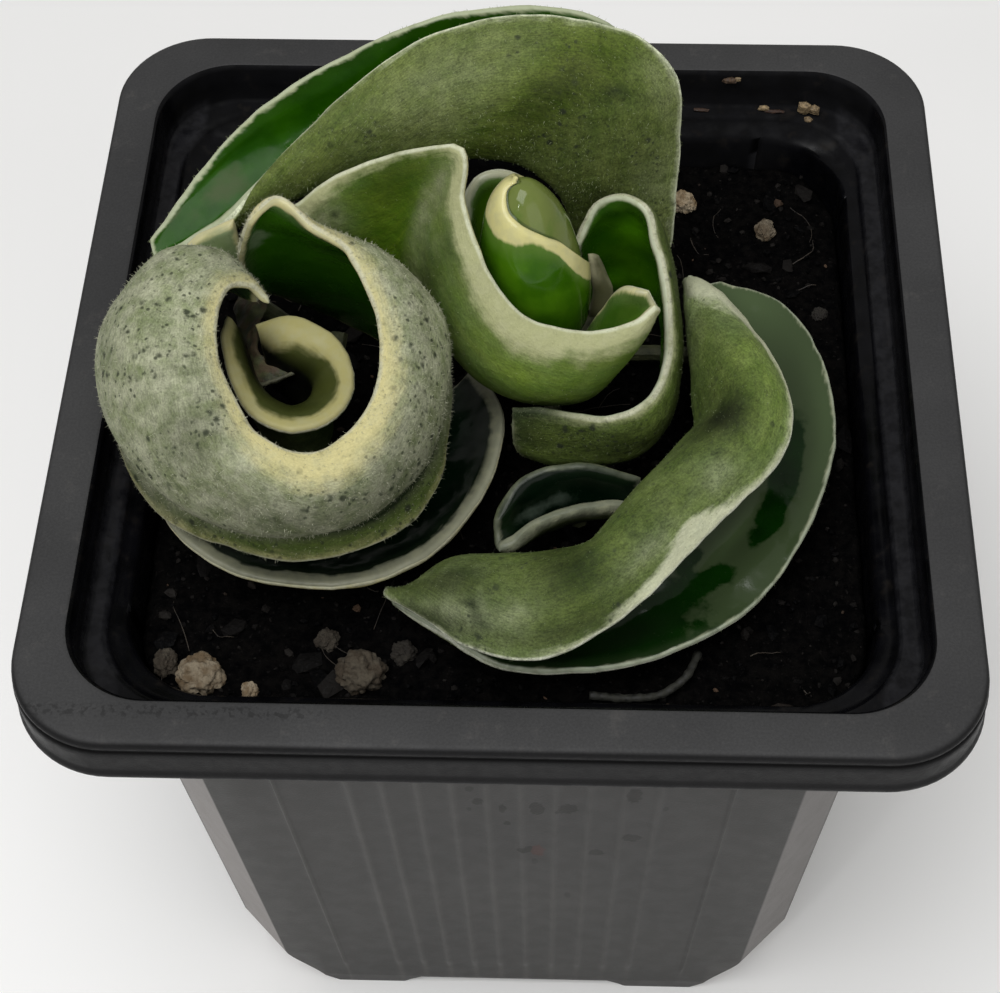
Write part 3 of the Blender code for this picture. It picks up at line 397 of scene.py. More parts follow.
TOP_FOLD = [           # front margin, front half, fold, back half, back margin
    [(13.2, 14, 85.2), (11.8, 13.7, 84.8), (10.2, 14, 84.6), (11.2, 15.2, 84.8), (12.5, 15.9, 85.4)],
    [(16, 14.1, 89), (11.5, 13.4, 89.8), (7.4, 14, 90.8), (9.6, 16.3, 90.4), (13, 17.5, 90)],
    [(16.6, 14.2, 98), (11, 13.2, 98), (5.7, 13.9, 97.5), (9, 17, 98), (13.5, 19, 98.5)],
    [(16.6, 15.6, 106), (10.2, 13, 105.5), (3.4, 13.6, 101.8), (7.3, 18, 104), (13.5, 20.5, 106)],
    [(15.9, 16.4, 112.6), (8.5, 13, 111.3), (0.2, 13.8, 104), (4.5, 18.5, 108.3), (11.5, 21.3, 112)],
    [(12.4, 17.6, 116.3), (4, 13, 113.3), (-3, 13.7, 104.8), (0.5, 19, 110), (8, 21.8, 115)],
    [(6.5, 18.6, 117.6), (-0.5, 13, 113.8), (-6, 13.4, 105), (-3.5, 18.8, 110), (3, 22, 116)],
    [(-0.1, 18.8, 117.8), (-5.5, 12.8, 113.3), (-9.5, 12.9, 105), (-8, 18, 109.5), (-3, 21.2, 116.3)],
    [(-7.7, 17.3, 116.6), (-10.5, 12, 112), (-13, 12.3, 104.8), (-12.3, 17, 108.5), (-9.2, 20, 115.6)],
    [(-14.2, 14.8, 113.3), (-15.5, 11.2, 110), (-17, 11.5, 104), (-17, 16, 107), (-15.5, 19, 112.8)],
    [(-19.4, 12, 109.6), (-20.5, 9.7, 107), (-21, 10.3, 102.5), (-22, 15, 105), (-21.5, 17.2, 110)],
    [(-23.6, 9.5, 106.2), (-24.9, 7.9, 104), (-25.5, 9, 101), (-27.5, 13, 103), (-27.3, 15, 106)],
    [(-27.2, 6.8, 103), (-28.3, 6.5, 101.6), (-29.5, 7.4, 100), (-31, 10.5, 101.5), (-31.2, 11.7, 103)],
    [(-34.2, 3.9, 99.4), (-34.7, 4, 99), (-35.3, 4.5, 98.8), (-35.6, 5.2, 99.2), (-35.7, 5.8, 99.8)],
]

CUP = [                # upper margin, shoulder, belly, keel, inner margin
    [(-21, 7, 104), (-20.8, 6.3, 102.5), (-20.5, 5.8, 101), (-20.2, 5.6, 99.5), (-20, 5.6, 98)],
    [(-16.2, 7.5, 108), (-15.7, 5.8, 104.5), (-15.2, 5, 100.5), (-14.8, 5, 97), (-14.5, 5.3, 94)],
    [(-10.3, 7.5, 111), (-10.3, 5.7, 106.5), (-10.8, 4.4, 101.5), (-11, 4.2, 97), (-10.5, 5, 92)],
    [(-4.3, 5.5, 114), (-7, 4.4, 108.5), (-9.3, 3, 102), (-9, 2.7, 96), (-7, 3.7, 91)],
    [(-4, 2.5, 110), (-6.7, 1.5, 105.5), (-8.2, 0.6, 99.5), (-6.8, 0.8, 93), (-3.5, 2.5, 90)],
    [(-2.5, -1.1, 107), (-4.6, -2.4, 103.5), (-6, -2.6, 97.5), (-4.3, -1.5, 91.2), (-0.8, 1.2, 89.2)],
    [(-0.6, -3.4, 104), (-2, -5.2, 101.5), (-3, -5.6, 96), (-1.5, -3.8, 90.2), (1, 0.7, 88.7)],
    [(2.3, -5.1, 102), (1.8, -7.2, 100), (1.2, -7.8, 95), (2.3, -5, 89.7), (3.5, 0.3, 88.7)],
    [(6.1, -5.7, 101), (6.3, -8, 99), (6.5, -8, 94.5), (6.2, -5, 89.9), (6, 0.3, 89.6)],
    [(9.9, -5.4, 101), (10.4, -6.8, 99), (10.2, -6.3, 95.6), (9.2, -4, 92.3), (9.2, -0.3, 97.5)],
    [(12.6, -4.9, 102), (13.1, -5.2, 100.6), (12.4, -4.2, 98.6), (11.5, -2.6, 97.8), (11.2, -1.1, 102)],
    [(14.1, -3.9, 102.7), (14.4, -3.5, 102), (14.2, -3, 101.6),
     (13.9, -2.6, 101.9), (13.5, -2.3, 102.8)],
]

OUTER_CUP = [          # upper margin, shoulder, belly, lower margin
    [(6.5, 7.6, 98), (6.6, 8.2, 95), (7, 8.4, 91), (7.8, 8, 87)],
    [(8.8, 10.2, 101.5), (9, 10.8, 97), (9.5, 10.8, 92), (10.3, 10.2, 87)],
    [(11.2, 9.5, 103), (11.8, 10.5, 98.5), (12.3, 10.6, 93), (12.3, 10.2, 87)],
    [(13.2, 7.8, 103), (14.4, 8.7, 98.5), (15.2, 9, 93), (14.9, 8.6, 87)],
    [(14.2, 5.7, 101), (15.4, 6.2, 97), (16.1, 6.1, 92), (15.8, 5.9, 87)],
    [(15, 3.5, 99.5), (16, 3.5, 95.5), (16.4, 3.3, 91), (15.9, 3, 86.5)],
    [(15.6, 0, 97.5), (16.4, 0, 94), (16.5, 0.3, 90), (15.8, 0.5, 86)],
    [(15.7, -3.5, 96), (16.4, -3.6, 93), (16.4, -3.2, 89.5), (15.4, -2.5, 85.5)],
    [(15, -6.8, 95), (15.6, -7.4, 92), (15.5, -7, 88.5), (14.2, -5.5, 84.8)],
    [(13.5, -9.2, 94.5), (13.8, -9.9, 91.5), (13.6, -9.5, 88), (12.4, -8, 84.5)],
    [(10.2, -10.6, 94), (10.3, -11.2, 91), (10.2, -10.8, 87.5), (9.8, -9, 84.2)],
    [(7.3, -10.5, 94), (7.2, -11, 91), (7.2, -10.8, 87.5), (7, -9.2, 84.2)],
    [(4.3, -9.8, 93.8), (4.3, -10.6, 91), (4.3, -10.6, 87.5), (4.3, -9.2, 84.2)],
    [(0.6, -8.8, 92.8), (0.5, -9.7, 90.5), (0.7, -10, 88), (1.5, -9.4, 85.6)],
]

SIDE_FOLD = [          # upper margin, upper half, fold, lower half, lower margin
    [(18.1, 8.3, 92.5), (17.9, 8.8, 91.5), (18.2, 9.4, 90), (19.9, 10.6, 88.3), (21.6, 11.5, 87.5)],
    [(20.8, 4.5, 94.5), (18.8, 4.6, 94.6), (18.4, 4.3, 90.5), (22.5, 6.5, 86.2), (27, 10.8, 86.3)],
    [(23.6, -1.2, 96.3), (20.6, -0.6, 97.2), (18.7, -1.2, 91.5), (24.5, 0.8, 85.5), (30.8, 6.3, 86)],
    [(26.2, -7.5, 97.3), (22.3, -6.3, 99), (18.8, -6.7, 92), (25, -4.5, 85.3), (32.8, -0.5, 86)],
    [(27.2, -13.2, 97.3), (23, -11.5, 99.5), (18.7, -11.4, 92.5), (24.5, -11, 85.3), (33, -7, 86)],
    [(25.8, -17.5, 96.5), (21.5, -15.5, 99.3), (16.2, -15, 92.5), (22.5, -16.5, 85.2), (31.7, -13, 86)],
    [(22, -21.5, 95.3), (18, -19.3, 98.5), (13, -18.8, 92), (19, -21, 85), (29, -19.5, 86)],
    [(18, -25.5, 94), (14.5, -23, 97.3), (10.2, -22.2, 91), (15.5, -25, 84.6), (25.5, -24.8, 85)],
    [(13.6, -29.8, 92.3), (10.8, -26.5, 95.5), (7.3, -24.9, 90), (11.5, -28, 84.4), (20.5, -29.3, 85)],
    [(9, -33.3, 91), (6.8, -28.8, 94.3), (3.8, -24.9, 90), (7.5, -30, 84.3), (14, -32.4, 84.8)],
    [(3.5, -35.3, 89.8), (1.8, -30, 92.9), (-0.5, -24.7, 89.5), (2, -30.5, 84.2), (6.5, -33.8, 84.8)],
    [(-2.5, -33.8, 89), (-3.2, -29, 91), (-4.8, -24.2, 88), (-3, -29, 84.1), (0, -33.6, 85.2)],
    [(-7.5, -29.8, 87.7), (-8, -27.8, 88), (-8.6, -25.6, 85.8), (-7.4, -27.2, 84.2), (-5.8, -30, 85.3)],
    [(-11.3, -26.3, 85.4), (-11.4, -25.8, 85.3), (-11.4, -25.2, 84.6),
     (-11, -25.6, 84), (-10.6, -26.3, 84)],
]

SMALL_FOLD = [         # back margin, back half, fold, front margin
    [(-0.9, -19.2, 88.5), (-0.9, -20.1, 87.6), (-0.8, -21.1, 87.2), (-0.4, -22.2, 87.4)],
    [(0.7, -16.2, 89.6), (0.8, -18, 87.2), (1, -19.8, 86.2), (1, -21.6, 88)],
    [(3.7, -14.4, 90.4), (3.8, -15.8, 87.3), (4, -17.4, 85), (2.8, -19.6, 88.2)],
    [(7.4, -13.8, 90.3), (7.4, -14.5, 87.5), (7.2, -15.8, 84.7), (5.9, -18.1, 88.3)],
    [(10.8, -14, 89.6), (10.7, -14.7, 87.2), (10.3, -15.8, 85.3), (9.1, -17.3, 88.2)],
    [(13.2, -14.2, 88.6), (13.1, -14.9, 87.3), (12.7, -15.8, 86.4), (12.1, -16.8, 87.8)],
]

CREST = [              # upper margin, middle, lower margin
    [(-31.6, 3.2, 101.9), (-31.6, 3.1, 101.3), (-31.4, 3.1, 100.7)],
    [(-30.3, 3.8, 103), (-30, 3.1, 101), (-29.5, 2.9, 98.8)],
    [(-28.3, 4.1, 104), (-27.9, 3.2, 101), (-27.4, 3, 98)],
    [(-26.6, 4.5, 104.7), (-26.2, 3.7, 101.3), (-25.8, 3.6, 98)],
]

BUD_FOOT = 94.6
BUD_TOP = 110.6
BUD_RADIUS = 4.6
BUD_WRAP = 0.7         # how far the outer turn stands proud
BUD_TIP = 0.5          # radius of its blunt tip
BUD_AXIS = (3.0, 2.0, 97.0)      # a point on the axis
BUD_LEAN = (-0.11, 0.14)         # how far the axis runs left and back for each mm up
BUD_BELLY = 0.36       # share of the height where the bud is widest
WRAP_ANGLES = [60, 85, 110, 198, 216, 234, 261, 300, 321, 333, 350, 380, 420]     # degrees
WRAP_HEIGHTS = [97, 106.5, 109.6, 110.1, 109.8, 109.3, 108.7, 107.4, 106.1, 104.6, 102.4, 99.5, 97]

BUD_COLLAR = [         # upper margin, middle, lower margin
    [(-4.3, 4.6, 104), (-4, 4.2, 101), (-2.7, 4, 97.3)],
    [(-4.2, 7, 105.4), (-3.8, 6.3, 102), (-1.9, 5.6, 97.2)],
    [(-3, 8.4, 106.9), (-2.9, 7.9, 103), (-0.6, 6.9, 97)],
    [(-1, 9.1, 107), (-1, 9, 103), (1, 7.7, 97)],
    [(1.3, 9.4, 105.5), (1.4, 9.3, 102), (2.6, 7.9, 97)],
    [(3.5, 9.4, 103), (3.6, 9, 100.5), (4.2, 7.7, 97)],
]

BUD_SCALE = [          # right margin, middle, left margin
    [(8.8, 6.8, 97.3), (8.2, 6.9, 97.4), (7.7, 7, 97.3)],
    [(9.6, 6.2, 95.6), (8.6, 6.1, 95.4), (7.9, 6.2, 95.3)],
    [(10.3, 5, 93.6), (9.2, 4.8, 93.4), (8.2, 5, 93.3)],
    [(9, 3.9, 91.2), (8.5, 3.8, 91.1), (7.9, 3.9, 91)],
]

RUNNER = [(8.5, -34), (12.4, -34.1), (15.7, -33.3), (17.8, -31.6), (19, -29)]


# Leaves

SIDES = ("gloss", "felt")        # materials of a leaf: upper side, hairy under side
DENSE = 160            # samples along a row when its true length is read


def margin_places(length):
    """Places along rows in millimetres, close together near both margins."""
    steps = np.array(MARGIN_STEPS)
    count = max(4, int(round((np.max(length) - 2 * steps[-1]) / LEAF_CELL)))
    inner = np.linspace(0.0, 1.0, count + 1)[1:-1]
    length = np.atleast_1d(length)[:, None]
    near = np.minimum(1.0, length / (MARGIN_FIT * steps[-1])) * steps[None, :]
    first = near[:, -1:]
    middle = first + (length - 2 * first) * inner[None, :]
    return np.concatenate([near, middle, length - near[:, ::-1]], axis=1)


def leaf_grid(net):
    """Places u, v on a net for a fine grid with close lines along all four margins."""
    dense = np.linspace(0.0, 1.0, DENSE + 1)
    along = running(surface(net, dense, np.full(DENSE + 1, 0.5)), 0)
    u = np.interp(margin_places(along[-1])[0], along, dense)
    grid_u, grid_v = np.meshgrid(u, dense, indexing="ij")
    across = running(surface(net, grid_u, grid_v), 1)
    places = margin_places(across[:, -1])
    v = np.array([np.interp(row, run, dense) for row, run in zip(places, across)])
    return np.repeat(u[:, None], v.shape[1], axis=1), v


def leaf_normals(net, u, v):
    """Unit normals of a net's surface."""
    step = 0.004
    along = surface(net, np.minimum(u + step, 1), v) - surface(net, np.maximum(u - step, 0), v)
    across = surface(net, u, np.minimum(v + step, 1)) - surface(net, u, np.maximum(v - step, 0))
    return unit(np.cross(along, across))


def read_list(values, u):
    """Read a short list of numbers as a smooth run along the leaf."""
    values = np.asarray(values, float)
    if values.ndim == 0:
        return np.full(u.shape, float(values))
    return np.interp(u, np.linspace(0, 1, len(values)), values)


class Sheet:
    """Middle surface of one leaf with what its two sides need."""

    def __init__(self, net, seed, wave=0.16, ruffle=0.14):
        net = np.array(net, float)
        self.u, self.v = leaf_grid(net)
        points = surface(net, self.u, self.v)
        self.normal = leaf_normals(net, self.u, self.v)
        self.run_u = running(points, 0)
        self.run_v = running(points, 1)
        self.length = self.run_u[-1:]
        self.width = self.run_v[:, -1:]
        self.from_ends = np.minimum(self.run_u, self.length - self.run_u)
        self.from_sides = np.minimum(self.run_v, self.width - self.run_v)
        self.edge = np.minimum(self.from_ends, self.from_sides)
        near = 1 - smooth_step(self.from_sides / RUFFLE_REACH)
        away = smooth_step(self.edge / CALM_REACH)
        lift = noise_at(points, 0.22, seed) * wave * away
        lift += noise_at(points, 0.5, seed + 1) * ruffle * near
        lift += noise_at(points, 1.3, seed + 2) * 0.03
        pull = noise_at(points, 0.45, seed + 3) * 0.16 * near
        side = np.where(self.v < 0.5, 1.0, -1.0)
        outward = unit(np.gradient(points, axis=1))
        self.points = points + self.normal * lift[..., None]
        self.points += outward * (pull * side)[..., None]
        self.half = self.thickness()

    def thickness(self):
        """Half thickness: thinner towards the margin, and rounded at it."""
        share = np.minimum(1 - np.abs(2 * self.v - 1), 1 - np.abs(2 * self.u - 1))
        full = MARGIN + (1 - MARGIN) * smooth_step(share / MARGIN_BAND)
        round_sides = np.minimum(self.from_sides / EDGE_ROUND, 1.0)
        round_ends = np.minimum(self.from_ends / EDGE_ROUND, 1.0)
        edge = np.sqrt(1 - (1 - round_sides) ** 2) * np.sqrt(1 - (1 - round_ends) ** 2)
        return BLADE / 2 * full * edge

    def flow(self):
        """Place along and across the leaf in millimetres."""
        return np.stack([self.run_u, self.run_v, np.zeros_like(self.run_u)], axis=-1)

    def spots(self, places):
        """Amount of each soft spot (along, across, reach both ways, amount) at each point."""
        for u, v, wide, high, amount in places:
            away = ((self.u - u) / wide) ** 2 + ((self.v - v) / high) ** 2
            yield amount * np.exp(-away)


def leaf_mask(sheet, bands, spots):
    """How far inside the pale band each point is, in millimetres; negative is outside."""
    first, last, start, end = bands
    inside = np.maximum(read_list(first, sheet.u) - sheet.run_v,
                        read_list(last, sheet.u) - (sheet.width - sheet.run_v))
    inside = np.maximum(inside, start - sheet.run_u)
    inside = np.maximum(inside, end - (sheet.length - sheet.run_u))
    for spot in sheet.spots(spots):
        inside = inside + spot
    return np.clip(inside, -8, 8)


def leaf_tone(sheet, base, spots):
    """Share of a wash of colour over the leaf, with soft spots of more or less."""
    tone = read_list(base, sheet.u)
    for spot in sheet.spots(spots):
        tone = tone + spot
    return np.clip(tone, 0, 1)


def leaf_shade(sheet, base, spots):
    """Painted light and shade over the green of a leaf: 1, with soft painted lighter and darker spots.
    """
    shade = read_list(base, sheet.u)
    for spot in sheet.spots(spots):
        shade = shade * (1 + spot)
    return np.clip(shade, 0.02, 12)


def side_marks(sheet, look, side):
    """What one side of a leaf stores for its finish."""
    marks = {"pale": leaf_mask(sheet, look.get(side, look["band"]),
                               look.get(side + "_spots", ()))}
    # wash: grey or silver over the green; on several glossy sides it is a painted reflection. deep: a
    # darkening, mostly painted shade in creases, hollows and tucked ends, and on a few hairy sides real
    # scars, marks and a slit. shade: painted light and shade.
    for name, maker, base in (("wash", leaf_tone, 0.0), ("deep", leaf_tone, 0.0),
                              ("shade", leaf_shade, 1.0)):
        key = f"{side}_{name}"
        marks[name] = maker(sheet, look.get(key, base), look.get(key + "_spots", ()))
    return marks


def build_leaf(node, net, felt_up, thick, seed, finishes):
    """Leaf with two sides; felt_up says that the net's normal points out of the hairy side."""
    look = LOOKS[node]
    sheet = Sheet(net, seed, look.get("wave", 0.16), look.get("ruffle", 0.14))
    rows, columns = sheet.u.shape
    count = rows * columns
    offset = sheet.normal * (sheet.half * thick)[..., None]
    both = np.stack([sheet.points + offset, sheet.points - offset]).reshape(-1, 3)
    rim = np.ones((rows, columns), bool)
    rim[1:-1, 1:-1] = False
    keep = np.concatenate([np.ones(count, bool), ~rim.ravel()])
    lower = np.where(rim.ravel(), np.arange(count), (np.cumsum(keep) - 1)[count:])
    upper_faces = grid_faces(rows, columns)
    lower_faces = [tuple(int(lower[k]) for k in face)
                   for face in grid_faces(rows, columns, flip=True)]
    sides = ("felt", "gloss") if felt_up else ("gloss", "felt")
    indices = [SIDES.index(side) for side in sides for face in upper_faces]
    leaf = object_from("fine_" + node, both[keep], upper_faces + lower_faces, finishes, indices)
    upper_marks, lower_marks = (side_marks(sheet, look, side) for side in sides)
    for name, values in upper_marks.items():
        store(leaf, name, np.concatenate([values.ravel(), lower_marks[name].ravel()])[keep])
    store(leaf, "edge", np.tile(sheet.edge.ravel(), 2)[keep])
    store(leaf, "flow", np.tile(sheet.flow().reshape(-1, 3), (2, 1))[keep])
    settle(leaf, node)
    return sheet


# Leaf materials

CREAM = (0.56, 0.51, 0.25)
CREAM_GREY = (0.38, 0.38, 0.24)


def pale_band(graph, soft, streaks, blotches):
    """Shares of the pale band and of the grey-green zone beside it."""
    streak = graph.minus(graph.noise(1.0, 3.0, graph.flow(0.22, 1.5, 1.0)), 0.5)
    blotch = graph.minus(graph.noise(0.55, 3.0), 0.5)
    shift = graph.plus(graph.times(streak, streaks), graph.times(blotch, blotches))
    inside = graph.plus(graph.value("pale"), shift)
    return graph.span(inside, -soft, soft), graph.span(inside, -soft - 1.8, soft)


def margin_line(graph, colour, line, share):
    """Thin pale line along the margin, fading where the leaf is deep in shade."""
    edge = graph.span(graph.value("edge"), 0.42, 0.1)
    broken = graph.span(graph.noise(0.8, 3.0), 0.25, 0.6, 0.4, 1.0)
    broken = graph.times(broken, graph.span(graph.value("deep"), 0.3, 0.9, 1.0, 0.1))
    return graph.tinted(colour, line, edge, broken, share)


def gloss_finish(name, dark, light, cream=CREAM, grey=(0.09, 0.12, 0.06), soft=0.35, streaks=1.0,
                 blotches=0.9, deep=(0.004, 0.01, 0.003), wash=(0.2, 0.26, 0.12), roughness=0.2,
                 line=CREAM_GREY, line_share=0.5, zone_share=0.55, wash_soft=0.6, gloss=0.3):
    """Upper side of a leaf: dark glossy green, pale towards the margin."""
    graph = Graph(name)
    tone = graph.middle(graph.noise(0.28, 4.0))
    veins = graph.noise(1.0, 4.0, graph.flow(0.3, 0.9, 1.0))
    tone = graph.plus(graph.times(tone, 0.6), graph.times(veins, 0.4))
    band, zone = pale_band(graph, soft, streaks, blotches)
    colour = graph.tinted(graph.mix(tone, dark, light), grey, zone, zone_share)
    # The grey wash is a painted reflection on the leaves' glossy sides, and the real grey-green of the
    # bud's dome and the dry scale.
    cloud = graph.middle(graph.noise(0.35, 5.0, rough=0.6), -0.22, 0.22)
    smear = graph.plus(graph.value("wash"), cloud)
    smear = graph.span(smear, 0.5 - wash_soft, 0.5 + wash_soft)
    colour = graph.tinted(colour, wash, smear, graph.span(graph.value("wash"), 0.0, 0.15))
    # Painted light and shade: the green scaled by the stored shade.
    colour = graph.lit(colour, graph.value("shade"))
    mottle = graph.span(graph.noise(1.1, 4.0), 0.35, 0.7)
    colour = graph.mix(band, colour, graph.tinted(cream, CREAM_GREY, mottle, 0.3))
    # Painted shade: the deep colour laid where the leaf lies in a crease, hollow or tucked end.
    colour = graph.mix(graph.value("deep"), colour, deep)
    colour = margin_line(graph, colour, line, line_share)
    dust = graph.span(graph.noise(3.0, 4.0), 0.66, 0.8)
    colour = graph.tinted(colour, (0.35, 0.36, 0.3), dust, 0.05)
    rough = graph.span(graph.noise(0.6, 3.0), 0.3, 0.75, roughness * 0.7, roughness * 1.7)
    ripple = graph.bump(graph.noise(0.22, 2.0), 0.3)
    pores = graph.bump(graph.noise(2.4, 3.0), 0.008, Normal=ripple)
    return graph.finish(colour, rough, pores, Specular_IOR_Level=gloss)


def dark_specks(graph, colour, band, amount):
    """Small and smaller dark specks that gather in patches."""
    where = graph.span(graph.noise(0.13, 3.0), 0.6 - 0.28 * amount, 0.7 - 0.25 * amount)
    for scale, reach, strength in ((0.7, 0.36, 0.9), (1.5, 0.38, 0.8)):
        spot = graph.span(graph.cells(scale), reach, reach * 0.45)
        size = graph.span(graph.noise(scale * 1.3, 1.0), 0.42, 0.6)
        off_band = graph.span(band, 0.0, 1.0, 1.0, 0.35)
        colour = graph.tinted(colour, (0.025, 0.032, 0.018), spot, where, size, off_band, strength)
    return colour


def felt_finish(name, dark, light, cream=CREAM, silver=(0.42, 0.43, 0.32), soft=0.7, streaks=1.6,
                blotches=1.2, specks=0.0, deep=(0.02, 0.03, 0.01), zone_colour=(0.18, 0.22, 0.08),
                line=(0.5, 0.5, 0.38), line_share=0.8, grain=0.2, zone_share=0.5, cloudy=0.5):
    """Under side of a leaf: olive with a coat of short pale hairs."""
    graph = Graph(name)
    tone = graph.middle(graph.noise(0.22, 4.0))
    streak = graph.middle(graph.noise(1.0, 4.0, graph.flow(0.16, 0.9, 1.0)))
    tone = graph.plus(graph.times(tone, 0.55), graph.times(streak, 0.45))
    band, zone = pale_band(graph, soft, streaks, blotches)
    colour = graph.tinted(graph.mix(tone, dark, light), zone_colour, zone, zone_share)
    patches = graph.span(graph.noise(0.5, 5.0, rough=0.62), 0.28, 0.68, cloudy, 1.0)
    colour = graph.tinted(colour, silver, graph.value("wash"), patches)
    # Painted light and shade: the colour scaled by the stored shade.
    colour = graph.lit(colour, graph.value("shade"))
    mottle = graph.span(graph.noise(0.9, 4.0), 0.4, 0.75)
    colour = graph.mix(band, colour, graph.tinted(cream, CREAM_GREY, mottle, 0.35))
    # Deep colour: painted shade in creases, hollows and tucked ends, and real dark scars, marks and a
    # slit on a few leaves.
    colour = graph.mix(graph.value("deep"), colour, deep)
    colour = margin_line(graph, colour, line, line_share)
    short = graph.noise(2.2, 5.0, graph.flow(0.8, 2.0, 1.0), rough=0.7)
    hairs = graph.middle(short, -grain, grain)
    fine = graph.middle(graph.noise(5.0, 4.0, rough=0.65), -grain, grain)
    cloud = graph.middle(graph.noise(0.9, 4.0, rough=0.6), -grain * 0.6, grain * 0.6)
    shade = graph.plus(graph.plus(hairs, fine), cloud)
    shade = graph.times(shade, graph.span(band, 0.2, 1.0, 1.0, 0.35))
    colour = graph.lit(colour, graph.plus(shade, 1.0))
    if specks > 0:
        colour = dark_specks(graph, colour, band, specks)
    fuzz = graph.bump(graph.noise(0.6, 4.0), 0.3, Normal=graph.bump(short, 0.1))
    return graph.finish(colour, graph.span(short, 0.2, 0.8, 0.6, 0.85), fuzz,
                        Specular_IOR_Level=0.15)


